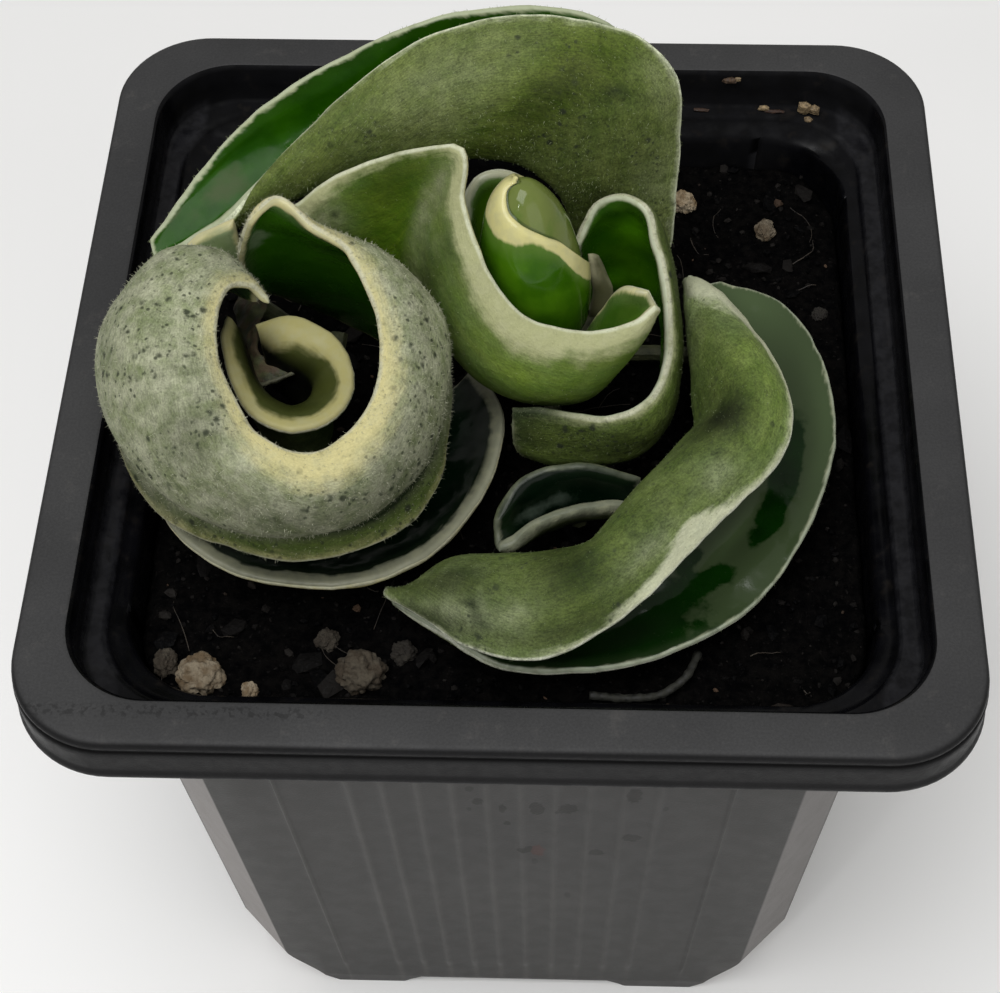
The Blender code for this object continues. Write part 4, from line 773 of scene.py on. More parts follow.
LOOKS = {
    "left_curl_leaf": {
        "band": (1.0, 0.5, 0.3, 0.3),
        "felt": ([1.4, 1.4, 1.2, 0.9, 1.0, 1.5, 2.3, 3.0, 2.5, 1.4, 0.8, 1.0, 0.8, 0.8, 0.9, 0.9],
                 0.12, 0.3, 0.3),
        "felt_wash": 0.92,
        "felt_wash_spots": [(0.42, 1.0, 0.16, 0.17, -1.0), (0.56, 1.0, 0.12, 0.12, -0.8)],
        # Painted light and shade on the outside of the curl.
        "felt_shade_spots": [(0.40, 0.42, 0.06, 0.12, -0.3), (0.52, 0.36, 0.08, 0.12, -0.45),
                             (0.44, 0.66, 0.14, 0.2, -0.5), (0.66, 0.93, 0.1, 0.08, -0.5),
                             (0.27, 0.4, 0.07, 0.1, 0.4), (0.63, 0.22, 0.03, 0.12, -0.4),
                             (0.79, 0.1, 0.06, 0.08, 0.3)],
        # Painted shade in the crease near the lower margin.
        "felt_deep_spots": [(0.39, 0.86, 0.07, 0.03, 0.95), (0.47, 0.86, 0.06, 0.025, 0.7)],
        "gloss": (0.7, 0.4, 0.3, 0.3),
        # Painted highlight on the inside of the curl's back wall.
        "gloss_wash_spots": [(0.03, 0.45, 0.02, 0.14, 0.9)],
        # Painted shade inside the curl.
        "gloss_deep_spots": [(0.1, 1.0, 0.12, 0.22, 0.9)],
        "gloss_shade_spots": [(0.11, 0.85, 0.1, 0.3, -0.6)],
    },
    "saucer_leaf": {
        "band": (1.1, 0.3, 0.3, 0.3),
        # Painted reflection on the glossy top.
        "gloss_wash_spots": [(0.38, 0.56, 0.06, 0.12, 0.8), (0.57, 0.66, 0.03, 0.1, 0.8),
                             (0.22, 0.33, 0.05, 0.08, 0.6)],
        # Painted shadow under the curl at the lower left, and painted shade at the right.
        "gloss_deep_spots": [(0.32, 0.0, 0.17, 0.3, 0.6), (0.85, 0.22, 0.16, 0.14, 0.8),
                             (0.74, 0.12, 0.06, 0.06, 0.6)],
    },
    "inner_curl_leaf": {
        "band": ([0.8, 0.9, 1.0, 1.1, 1.1, 1.2, 1.3, 1.6, 2.3, 3.0, 3.2], -1, 0.3, -1),
        # Painted shade inside the funnel and at the lip's end.
        "gloss_deep_spots": [(0.9, 0.62, 0.25, 0.28, 1.0), (0.5, 0.8, 2.0, 0.4, 1.0),
                             (0.15, 0.4, 0.2, 0.3, 0.95), (1.04, 0.3, 0.1, 0.3, 0.95)],
        "felt_deep_spots": [(1.0, 0.1, 0.035, 0.6, 0.85)],
        "wave": 0.1, "ruffle": 0.1,
    },
    "top_fold_leaf": {
        "band": (0.3, 0.2, 0.3, 0.3),
        "gloss": (0.2, [0.2, 0.2, 0.2, 0.3, 0.3, 0.3, 0.4, 0.3, 0.3, 0.3, 0.5, 0.4, 0.3, 0.3],
                  0.3, 0.3),
        "felt_wash": 0.2,
        "felt_wash_spots": [(0.55, 0.2, 0.1, 0.16, 0.45), (0.2, 0.1, 0.06, 0.12, 0.4),
                            (0.42, 0.2, 0.05, 0.3, -0.4), (0.34, 0.03, 0.04, 0.06, 0.7)],
        # Painted light and shade on the outside.
        "felt_shade_spots": [(0.55, 0.15, 0.2, 0.18, -0.15), (0.41, 0.2, 0.035, 0.14, -0.55),
                             (0.25, 0.2, 0.07, 0.18, -0.3), (0.36, 0.3, 0.05, 0.1, -0.2),
                             (0.3, 0.42, 0.12, 0.08, -0.2), (0.66, 0.4, 0.12, 0.05, 0.8),
                             (0.36, 0.17, 0.02, 0.05, -0.4)],
        "felt_deep_spots": [(0.36, 0.165, 0.008, 0.016, 0.9), (0.47, 0.28, 0.007, 0.014, 0.6),
                            (0.21, 0.32, 0.007, 0.014, 0.7)],
        # Painted reflection inside the fold, and painted shade near its back margin.
        "gloss_wash_spots": [(0.87, 0.68, 0.05, 0.1, 0.75), (0.95, 0.85, 0.03, 0.08, 0.6)],
        "gloss_shade_spots": [(0.6, 0.95, 0.2, 0.2, -0.3)],
    },
    "cup_leaf": {
        "band": (0.5, 0.4, 0.3, 0.3),
        "felt": ([2.4, 1.5, 0.3, 0.3, 2.2, 2.0, 2.6, 3.4, 2.6, 2.2, 1.8, 1.6], -1, 0.3, 0.3),
        "felt_wash": [0.5, 0.2, 0.0, 0.0, 0.5, 0.3, 0.3, 0.2, 0.2, 0.15, 0.1, 0.1],
        "felt_wash_spots": [(0.32, 0.2, 0.03, 0.15, 0.8), (0.08, 0.22, 0.04, 0.1, 0.9),
                            (0.42, 0.48, 0.05, 0.08, 0.8)],
        "felt_deep_spots": [(0.105, 0.19, 0.008, 0.022, 0.95)],
        # Painted light and shade on the outside.
        "felt_shade_spots": [(0.43, 0.32, 0.04, 0.12, -0.5), (0.68, 0.36, 0.2, 0.16, 0.7),
                             (0.2, 0.14, 0.06, 0.12, -0.35), (0.24, 0.08, 0.06, 0.06, -0.35),
                             (0.44, 0.12, 0.03, 0.05, -0.3), (0.77, 0.13, 0.06, 0.08, -0.2)],
        "gloss": (0.4, 0.3, 0.2, 0.2),
    },
    "outer_cup_leaf": {
        "band": (0.5, 0.3, 0.3, 0.3),
        "gloss": ([0.3, 0.3, 0.3, 0.4, 0.5, 0.6, 0.6, 0.7, 0.6, 0.6, 0.6, 0.6, 0.5, 0.5], 0.3,
                  0.2, 0.3),
        "felt": ([0.3, 0.3, 0.3, 0.3, 0.4, 0.4, 0.5, 0.5, 0.5, 0.5, 0.4, 0.4, 0.4, 0.4], -1,
                 0.3, 0.3),
        "felt_wash": 0.25,
        # Painted light and shade on the outside, and painted shade at the flap's end.
        "felt_shade_spots": [(0.97, 0.3, 0.05, 0.3, -0.5), (0.66, 0.2, 0.07, 0.2, 1.2),
                             (0.85, 0.65, 0.3, 0.16, 2.0)],
        "felt_deep_spots": [(1.0, 0.0, 0.15, 0.12, 1.3), (1.0, 0.5, 0.03, 0.6, 0.8)],
        # Painted shade inside the cup, with painted light in two spots.
        "gloss_deep_spots": [(0.8, 0.6, 0.3, 0.6, 0.8), (1.0, 0.0, 0.15, 0.16, 1.3)],
        "gloss_shade": 0.75,
        "gloss_shade_spots": [(0.18, 0.3, 0.04, 0.12, 1.3), (0.1, 0.79, 0.04, 0.1, 0.9)],
    },
    "side_fold_leaf": {
        "band": (0.4, 0.4, 0.3, 0.3),
        "felt": ([1.4, 3.3, 2.8, 1.1, 0.5, 0.5, 0.7, 2.0, 1.2, 0.3, 0.1, 0.1, 0.1, 0.1], 0.5,
                 0.3, 0.3),
        "felt_wash": [0.3, 0.5, 0.35, 0.15, 0.1, 0.15, 0.2, 0.2, 0.15, 0.1, 0.2, 0.35, 0.3, 0.2],
        "felt_wash_spots": [(0.86, 0.1, 0.07, 0.05, 0.7), (0.6, 0.1, 0.05, 0.03, 0.7),
                            (0.47, 0.1, 0.03, 0.04, 0.6), (0.78, 0.12, 0.02, 0.03, 0.6)],
        # Painted light and shade on the outside.
        "felt_shade_spots": [(0.38, 0.21, 0.07, 0.08, -0.8), (0.3, 0.32, 0.05, 0.08, -0.3),
                             (0.3, 0.1, 0.13, 0.09, 0.5), (0.07, 0.3, 0.05, 0.12, 1.6),
                             (0.7, 0.18, 0.06, 0.09, -0.65), (0.87, 0.22, 0.07, 0.08, -0.6),
                             (0.55, 0.17, 0.06, 0.05, -0.3), (0.92, 0.06, 0.05, 0.06, -0.5),
                             (0.68, 0.03, 0.05, 0.04, -0.5), (0.8, 0.05, 0.08, 0.03, -0.3),
                             (0.385, 0.22, 0.03, 0.08, -0.5), (0.69, 0.28, 0.05, 0.08, -0.4),
                             (0.9, 0.04, 0.06, 0.06, -0.4), (0.74, 0.05, 0.04, 0.03, -0.4)],
        "gloss": (0.4, [0.4, 0.3, 0.25, 0.25, 0.3, 0.3, 0.3, 0.2, 0.2, 0.25, 0.2, 0.2, 0.2, 0.2],
                  0.3, 0.3),
        # Painted reflection over the glossy inside, with dark gaps in it.
        "gloss_wash": [1.0, 1.0, 1.0, 0.95, 0.9, 0.95, 1.0, 0.9, 0.5, 0.0, 0.0, 0.0, 0.0, 0.0],
        "gloss_wash_spots": [(0.32, 0.85, 0.04, 0.045, -1.3), (0.38, 0.85, 0.05, 0.05, -1.3),
                             (0.44, 0.88, 0.03, 0.035, -1.2), (0.52, 0.8, 0.025, 0.06, -1.4),
                             (0.48, 0.68, 0.025, 0.04, -1.2), (0.6, 0.75, 0.05, 0.1, -1.0),
                             (0.56, 0.67, 0.04, 0.06, -1.0), (0.24, 0.8, 0.03, 0.06, -0.5)],
        # Painted light and shade on the glossy inside, and painted shade in two patches.
        "gloss_shade_spots": [(0.05, 0.92, 0.08, 0.2, 0.7), (0.42, 0.76, 0.08, 0.05, 0.8),
                              (0.3, 0.97, 0.12, 0.05, 0.5)],
        "gloss_deep_spots": [(0.66, 0.8, 0.08, 0.12, 0.8), (0.8, 0.9, 0.1, 0.12, 0.7)],
        "felt_deep_spots": [(0.445, 0.155, 0.008, 0.014, 0.8), (0.66, 0.2, 0.008, 0.014, 0.7),
                            (0.6, 0.16, 0.007, 0.012, 0.7), (0.838, 0.11, 0.007, 0.045, 0.9),
                            (0.85, 0.135, 0.014, 0.012, 0.7), (0.83, 0.08, 0.012, 0.008, 0.6)],
        "felt_spots": [(0.545, 0.03, 0.025, 0.05, 2.2)],
    },
    "small_fold_leaf": {
        "band": (0.0, 1.1, 0.3, 0.2), "wave": 0.08,
        # Painted reflection on the glossy top, and painted shade at the leaf's ends and along its back
        # margin.
        "gloss_wash_spots": [(0.35, 0.35, 0.22, 0.08, 0.8)],
        "gloss_deep_spots": [(0.04, 0.2, 0.09, 0.4, 0.8), (0.9, 0.05, 0.3, 0.12, 0.6)],
        "felt_deep_spots": [(0.02, 0.5, 0.07, 0.6, 0.8), (0.6, 0.0, 0.6, 0.08, 0.5)],
    },
    "crest_leaf": {"band": (0.4, 0.3, 0.3, 0.3), "gloss_wash": 0.5, "wave": 0.05,
                   "ruffle": 0.05},
    "bud_collar_leaf": {"band": (0.4, 0.2, 0.3, 0.3), "wave": 0.05, "ruffle": 0.06},
    "bud_scale": {"band": (0.0, 0.0, 0.0, 0.0), "wave": 0.1, "ruffle": 0.15,
                  "felt_wash_spots": [(0.12, 0.8, 0.22, 0.4, 1.0)],
                  "gloss_wash_spots": [(0.12, 0.8, 0.22, 0.4, 1.0)]},
}


def leaf_finishes():
    """Upper and under side of each leaf."""
    black_green = ((0.0004, 0.003, 0.001), (0.001, 0.006, 0.002))
    return {
        "left_curl_leaf": (
            # Wash: painted highlight; deep: painted shade inside the curl.
            gloss_finish("curl_inside", (0.02, 0.09, 0.002), (0.04, 0.15, 0.004),
                         wash=(0.16, 0.24, 0.12), deep=(0.002, 0.012, 0.001), roughness=0.2,
                         wash_soft=0.25),
            # Deep: painted shade in the crease.
            felt_finish("curl_outside", (0.05, 0.085, 0.012), (0.1, 0.14, 0.03), specks=0.8,
                        silver=(0.34, 0.35, 0.245), soft=1.4, cloudy=0.35, grain=0.2,
                        deep=(0.006, 0.014, 0.002), zone_share=0.35)),
        "saucer_leaf": (
            # Wash: painted reflection; deep: painted shadow and shade.
            gloss_finish("saucer_top", *black_green, cream=(0.22, 0.225, 0.16), roughness=0.16,
                         blotches=1.3, grey=(0.015, 0.025, 0.012), wash=(0.05, 0.065, 0.035),
                         gloss=0.12, wash_soft=0.2, deep=(0.003, 0.006, 0.003),
                         line=(0.3, 0.3, 0.22)),
            felt_finish("saucer_under", (0.03, 0.05, 0.01), (0.07, 0.09, 0.025))),
        "inner_curl_leaf": (
            # Deep: painted shade in the funnel.
            gloss_finish("funnel_inside", (0.025, 0.033, 0.006), (0.06, 0.07, 0.015),
                         cream=(0.37, 0.34, 0.14), deep=(0.0015, 0.0018, 0.001), roughness=0.4,
                         soft=0.45, grey=(0.06, 0.07, 0.02), line=(0.42, 0.39, 0.2), gloss=0.12),
            # Deep, from the default: painted shade at the lip's end.
            felt_finish("funnel_outside", (0.1, 0.12, 0.05), (0.2, 0.22, 0.1))),
        "top_fold_leaf": (
            # Wash: painted reflection inside the fold.
            gloss_finish("fold_inside", (0.007, 0.045, 0.0003), (0.02, 0.09, 0.0008),
                         roughness=0.2, grey=(0.02, 0.06, 0.004), wash=(0.04, 0.07, 0.014),
                         cream=(0.36, 0.4, 0.24), line=(0.4, 0.44, 0.3), line_share=0.9,
                         gloss=0.1, wash_soft=0.3),
            felt_finish("fold_outside", (0.05, 0.088, 0.006), (0.125, 0.165, 0.032),
                        silver=(0.22, 0.25, 0.12), zone_colour=(0.13, 0.17, 0.045), specks=0.15,
                        cream=(0.42, 0.45, 0.3), line=(0.62, 0.66, 0.48), line_share=1.0,
                        grain=0.26)),
        "cup_leaf": (
            gloss_finish("cup_inside", (0.02, 0.075, 0.003), (0.07, 0.14, 0.015), line_share=0.9,
                         grey=(0.12, 0.17, 0.06)),
            felt_finish("cup_outside", (0.035, 0.085, 0.001), (0.08, 0.13, 0.006),
                        silver=(0.19, 0.21, 0.11), soft=0.9, grain=0.12, zone_share=0.3,
                        zone_colour=(0.13, 0.16, 0.05), cream=(0.37, 0.38, 0.2),
                        line=(0.6, 0.62, 0.46), line_share=0.9, blotches=1.8)),
        "outer_cup_leaf": (
            # Deep: painted shade inside the cup.
            gloss_finish("outer_cup_inside", (0.015, 0.085, 0.001), (0.06, 0.19, 0.002),
                         deep=(0.001, 0.004, 0.001), zone_share=0.2, cream=(0.34, 0.38, 0.22),
                         line=(0.5, 0.53, 0.4), line_share=0.8),
            # Deep, from the default: painted shade at the flap's end.
            felt_finish("outer_cup_outside", (0.03, 0.05, 0.006), (0.07, 0.1, 0.016),
                        silver=(0.1, 0.12, 0.05), cream=(0.33, 0.35, 0.18),
                        zone_colour=(0.07, 0.11, 0.015), specks=0.4, grain=0.24)),
        "side_fold_leaf": (
            # Wash: painted reflection on the glossy inside; deep, from the default: painted shade.
            gloss_finish("side_inside", (0.001, 0.01, 0.0003), (0.003, 0.022, 0.001),
                         roughness=0.12, cream=(0.33, 0.35, 0.24), grey=(0.03, 0.045, 0.02),
                         wash=(0.033, 0.05, 0.021), line=(0.36, 0.4, 0.3), line_share=0.9,
                         wash_soft=0.15, gloss=0.25),
            felt_finish("side_outside", (0.035, 0.068, 0.004), (0.1, 0.14, 0.026),
                        silver=(0.22, 0.25, 0.14), soft=0.7, cream=(0.5, 0.52, 0.36), specks=0.4,
                        zone_colour=(0.12, 0.17, 0.05), line=(0.62, 0.64, 0.52), line_share=1.0,
                        grain=0.24)),
        "small_fold_leaf": (
            # Wash: painted reflection; deep on both sides: painted shade at the leaf's ends.
            gloss_finish("small_inside", *black_green, cream=(0.2, 0.21, 0.15), roughness=0.16,
                         wash=(0.035, 0.048, 0.036), line=(0.1, 0.115, 0.085), line_share=0.6,
                         wash_soft=0.3, gloss=0.12, grey=(0.01, 0.015, 0.01)),
            felt_finish("small_outside", (0.02, 0.03, 0.01), (0.04, 0.055, 0.02),
                        cream=(0.14, 0.15, 0.1), line=(0.12, 0.13, 0.09), line_share=0.5)),
        "crest_leaf": (
            gloss_finish("crest_front", (0.06, 0.11, 0.025), (0.14, 0.2, 0.07),
                         wash=(0.2, 0.25, 0.13), roughness=0.3),
            felt_finish("crest_back", (0.06, 0.1, 0.03), (0.16, 0.2, 0.1))),
        "bud_collar_leaf": (
            gloss_finish("collar_inside", (0.04, 0.12, 0.002), (0.09, 0.2, 0.005),
                         cream=(0.36, 0.37, 0.28)),
            felt_finish("collar_outside", (0.07, 0.11, 0.03), (0.2, 0.23, 0.12),
                        cream=(0.4, 0.41, 0.33))),
        "bud_scale": (
            gloss_finish("scale_front", (0.035, 0.04, 0.014), (0.085, 0.085, 0.035),
                         roughness=0.7, cream=(0.2, 0.18, 0.1), grey=(0.07, 0.07, 0.03),
                         wash=(0.42, 0.4, 0.25), line_share=0.2),
            felt_finish("scale_back", (0.04, 0.045, 0.016), (0.09, 0.09, 0.04),
                        cream=(0.2, 0.18, 0.1), silver=(0.45, 0.43, 0.27), line_share=0.2)),
    }


HAIRS = {              # leaf, hairs, length, dark and light colour
    "left_curl_leaf": (9000, 0.5, (0.22, 0.23, 0.15), (0.5, 0.5, 0.38)),
    "top_fold_leaf": (9000, 0.42, (0.12, 0.16, 0.05), (0.34, 0.38, 0.22)),
    "cup_leaf": (1500, 0.22, (0.14, 0.16, 0.08), (0.3, 0.32, 0.18)),
    "outer_cup_leaf": (2500, 0.26, (0.08, 0.1, 0.04), (0.2, 0.23, 0.12)),
    "side_fold_leaf": (5000, 0.26, (0.08, 0.11, 0.04), (0.24, 0.28, 0.15)),
}
HAIR_RADIUS = 0.026
HAIR_SINK = 0.03       # how deep a hair's foot sits


def build_hairs(leaf, sheet, felt_up, seed):
    """Coat of short hairs on the hairy side of a leaf, each one a thin closed spike."""
    count, length, dark, light = HAIRS[leaf]
    draw = np.random.default_rng(seed)
    rows, columns = sheet.u.shape
    i = draw.uniform(0, rows - 1.001, count)
    j = draw.uniform(0, columns - 1.001, count)
    low_i = i.astype(int)
    low_j = j.astype(int)
    part_i = (i - low_i)[:, None]
    part_j = (j - low_j)[:, None]

    def read(grid):
        """Values of a grid between its lines, at each hair's foot."""
        near, far = (grid[line, low_j] * (1 - part_j) + grid[line, low_j + 1] * part_j
                     for line in (low_i, low_i + 1))
        return near * (1 - part_i) + far * part_i

    out = unit(read(sheet.normal) * (1 if felt_up else -1))
    foot = read(sheet.points) + out * (read(sheet.half[..., None]) - HAIR_SINK)
    ahead = unit(out + draw.normal(size=(count, 3)) * 0.9)
    tip = foot + ahead * (draw.uniform(0.35, 1.0, count) * length)[:, None]
    side = unit(np.cross(ahead, draw.normal(size=(count, 3))))
    other = np.cross(ahead, side)
    corners = [foot + HAIR_RADIUS * (math.cos(a) * side + math.sin(a) * other)
               for a in (0, 2 * math.pi / 3, 4 * math.pi / 3)]
    points = np.stack(corners + [tip], axis=1).reshape(-1, 3)
    start = (np.arange(count) * 4)[:, None, None]
    faces = (np.array([[0, 1, 3], [1, 2, 3], [2, 0, 3], [2, 1, 0]])[None] + start).reshape(-1, 3)
    hairs = object_from("hairs_" + leaf, points, faces.tolist(),
                        [fibre_finish(leaf + "_hair", dark, light)], smooth=False)
    settle(hairs)


NETS = {               # net, whether the net's normal leaves the hairy side, slot, thickness
    "left_curl_leaf": (LEFT_CURL, True, "leaf", 1.0),
    "saucer_leaf": (SAUCER, False, "leaf", 1.0),
    "inner_curl_leaf": (INNER_CURL, False, "leaf", 1.0),
    "top_fold_leaf": (TOP_FOLD, True, "leaf", 1.0),
    "cup_leaf": (CUP, False, "leaf", 1.0),
    "outer_cup_leaf": (OUTER_CUP, True, "leaf", 1.0),
    "side_fold_leaf": (SIDE_FOLD, False, "leaf", 1.0),
    "small_fold_leaf": (SMALL_FOLD, True, "leaf", 1.0),
    "crest_leaf": (CREST, True, "leaf", 1.0),
    "bud_collar_leaf": (BUD_COLLAR, True, "young_leaf", 1.0),
    "bud_scale": (BUD_SCALE, True, "dry_scale", 0.7),
}


# Dry sheath in the middle of the curl

HEART = [              # front margin, middle, back margin
    [(-27.6, 1.6, 95.2), (-26.6, 2.4, 96.2), (-25.2, 3.0, 96.9)],
    [(-26.6, -2.4, 95.8), (-25.4, -1.6, 97.4), (-23.6, -1.0, 98.6)],
    [(-26.0, -5.9, 95.6), (-25.2, -4.9, 97.2), (-24.1, -4.3, 98.3)],
    [(-25.0, -8.7, 96.0), (-24.3, -7.6, 97.1), (-23.6, -6.9, 98.0)],
    [(-22.6, -9.6, 96.9), (-22.1, -8.3, 97.5), (-21.7, -7.4, 98.0)],
    [(-19.9, -8.6, 97.6), (-19.6, -8.0, 97.8), (-19.4, -7.5, 98.0)],
]
SHEATH_STRAND = [(-25.0, -9.0, 96.3), (-23.4, -9.7, 97.0), (-21.6, -9.4, 97.6),
                 (-19.6, -8.5, 97.9)]


def build_heart(finish, strand_finish):
    """Dry sheath that stands on the petiole behind the funnel, and a strand across it."""
    u, v = np.meshgrid(np.linspace(0, 1, 60), np.linspace(0, 1, 26), indexing="ij")
    points = surface(np.array(HEART, float), u, v)
    normal = unit(np.cross(np.gradient(points, axis=0), np.gradient(points, axis=1)))
    crumple = noise_at(points, 0.7, 3) * 0.3 + noise_at(points, 1.9, 4) * 0.12
    points = points + normal * crumple[..., None]
    half = 0.12 * np.sqrt(np.clip(1 - np.abs(2 * v - 1) ** 6, 0.04, 1))[..., None]
    both = np.stack([points + normal * half, points - normal * half]).reshape(-1, 3)
    rows, columns = u.shape
    count = rows * columns
    faces = grid_faces(rows, columns) + grid_faces(rows, columns, start=count, flip=True)
    number = np.arange(count).reshape(rows, columns)
    ring = [int(k) for side in (number[:, 0], number[-1, 1:], number[-2::-1, -1],
                                number[0, -2:0:-1]) for k in side]
    for a, b in zip(ring, ring[1:] + ring[:1]):
        faces.append((a, b, b + count, a + count))
    settle(object_from("dry_sheath", both, faces, [finish]))
    route = np.array(SHEATH_STRAND)
    line = through(chord_knots(route), route, np.linspace(0, 1, 24))
    points, faces = strand(line, [0.2] * 24, 10)
    points = points + noise_at(points, 1.8, 6)[:, None] * 0.06
    settle(object_from("dry_strand", points, faces, [strand_finish]))


# Bud

BUD_COLUMNS = 120
BUD_EDGE = 0.35        # rounding of the outer turn's margin
BAND_ANGLES = (60, 140, 192, 228, 249, 282, 309, 324, 350, 420)
BAND_FEET = (95.5, 108, 107.6, 107.1, 107.2, 107.3, 105.4, 102.9, 99.8, 95.5)


def bud_point(angle, height, proud):
    """Point on the bud's skin, which is an egg on a leaning axis."""
    share = (height - BUD_FOOT) / (BUD_TOP - BUD_FOOT)
    away = (share - BUD_BELLY) / (1 - BUD_BELLY)
    girth = BUD_RADIUS * math.sqrt(max(0.0, 1 - 0.98 * away * away))
    radius = max(BUD_TIP, girth) + proud
    rise = height - BUD_AXIS[2]
    return (BUD_AXIS[0] + BUD_LEAN[0] * rise + radius * math.cos(angle),
            BUD_AXIS[1] + BUD_LEAN[1] * rise + radius * math.sin(angle), height)


def round_bud(degrees, heights, angle):
    """Height at an angle round the bud, on the smooth line through heights at degrees."""
    place = math.degrees(angle)
    if place < degrees[0]:
        place += 360
    return float(through(degrees, heights, np.array([place]))[0])


def build_bud(finish):
    """Rolled young leaf: an outer turn with a pale margin round an inner dome."""
    angles = [2 * math.pi * i / BUD_COLUMNS for i in range(BUD_COLUMNS)]
    tops = [round_bud(WRAP_ANGLES, WRAP_HEIGHTS, a) for a in angles]
    feet = [round_bud(BAND_ANGLES, BAND_FEET, a) for a in angles]
    rows = []
    marks = {"pale": [], "wash": [], "deep": []}

    def add(heights, prouds, **values):
        """One turn of points, with what they store."""
        rows.append([bud_point(a, h, p) for a, h, p in zip(angles, heights, prouds)])
        for name, kept in marks.items():
            kept.append(np.broadcast_to(values.get(name, 0.0), BUD_COLUMNS))

    for share in (*np.linspace(0, 0.9, 22), 0.93, 0.96, 0.98, 0.992, 1.0):
        heights = [BUD_FOOT + share * (top - BUD_FOOT) for top in tops]
        round_off = [min(1.0, (top - h) / BUD_EDGE) for top, h in zip(tops, heights)]
        prouds = [BUD_WRAP * (0.45 + 0.55 * math.sqrt(1 - (1 - r) ** 2)) for r in round_off]
        add(heights, prouds, pale=[h - foot for foot, h in zip(feet, heights)])
    # Rows that turn in under the outer turn's top edge, with painted shade (deep) in the gap below it.
    for sink, proud, deep in ((0.05, 0.12, 0.1), (0.5, 0.0, 0.8)):
        add([top - sink for top in tops], [proud] * BUD_COLUMNS, pale=0.5, deep=deep)
    # The inner dome, with painted shade (deep) at its foot inside the outer turn.
    for share in (0.01, 0.05, *np.linspace(0.1, 0.97, 22), 0.99):
        heights = [top + share * (BUD_TOP - top) for top in tops]
        add(heights, [-0.1] * BUD_COLUMNS, pale=-4.0, wash=0.8, deep=0.4 if share < 0.02 else 0.0)
    points = np.array(rows).reshape(-1, 3)
    out = unit(points - points.mean(axis=0))
    points = points + out * (noise_at(points, 0.35, 31) * 0.12)[:, None]
    bud = object_from("bud_leaf", points, tube_faces(len(rows), BUD_COLUMNS), [finish])
    for name, kept in marks.items():
        store(bud, name, np.array(kept).ravel())
    flow = [(h[2] - BUD_FOOT, BUD_RADIUS * a, 0.0) for row in rows for h, a in zip(row, angles)]
    store(bud, "edge", np.full(len(points), 5.0))
    store(bud, "flow", np.array(flow))
    store(bud, "shade", np.ones(len(points)))
    settle(bud, "bud")


# Pot

def wall_half(height):
    """Half the width of the body's outer face at a height."""
    share = height / (POT_HEIGHT - LIP_DEPTH)
    return WALL_FOOT_HALF + (WALL_TOP_HALF - WALL_FOOT_HALF) * share


def wall_points():
    """Places across one wall with how far ribs and creases stand proud there."""
    found = []
    first = -(RIB_COUNT - 1) / 2 * RIB_PITCH
    for i in range(RIB_COUNT):
        for offset in (-0.95, -0.62, -0.42, -0.22, 0.0, 0.22, 0.42, 0.62, 0.95):
            proud = RIB_PROUD * math.exp(-(offset / RIB_SOFT) ** 2)
            found.append((first + i * RIB_PITCH + offset, proud if abs(offset) < 0.9 else 0.0, 1))
    for side in (-1, 1):
        for offset in (-0.6, -0.3, -0.15, 0.0, 0.15, 0.3, 0.6):
            proud = CREASE_PROUD * math.exp(-(offset / CREASE_SOFT) ** 2)
            found.append((side * CREASE_PLACE + offset, proud if abs(offset) < 0.5 else 0.0, 2))
        for place in (18.6, 19.8, 21.0, 22.2, 26.0, 27.5):
            found.append((side * place, 0.0, 0))
    return sorted(found, reverse=True)


WALL_POINTS = wall_points()


def corner_points(half, leg, height, count, roundness, turn):
    """Points round one corner of a square outline, from a straight cut to a round one."""
    points = []
    for share in (i / (count - 1) for i in range(count)):
        angle = share * math.pi / 2
        straight = Vector((half - leg * share, half - leg * (1 - share), height))
        arc = Vector((half - leg * (1 - math.cos(angle)), half - leg * (1 - math.sin(angle)),
                      height))
        points.append(turn @ straight.lerp(arc, roundness))
    return points


def pot_outline(half, leg, roundness, height, ribs=0.0, foot=False, inset=0.0):
    """One outline of the pot as points in order, with its ribs and feet."""
    taper = RIB_TAPER + (1 - RIB_TAPER) * (height - RIB_FOOT) / RIB_LENGTH
    taper = min(1.0, max(RIB_LEAST, taper))
    points = []
    for quarter in range(4):
        turn = Matrix.Rotation(quarter * math.pi / 2, 3, "Z")
        points += corner_points(half, leg, height, POT_CORNER_POINTS, roundness, turn)
        for across, proud, kind in WALL_POINTS:
            x = across * taper
            y = half + proud * (ribs if kind == 1 else min(1.0, ribs * 4))
            z = height
            if foot:
                away = (abs(abs(x) - FEET_PLACE) - FOOT_LENGTH / 2) * 2
                down = 1 - float(smooth_step(away / (FOOT_ROOT - FOOT_LENGTH)))
                z = height * (1 - down)
                y = wall_half(z) - inset * (1 - down) - inset * down * 1.4
            points.append(turn @ Vector((x, y, z)))
    return points


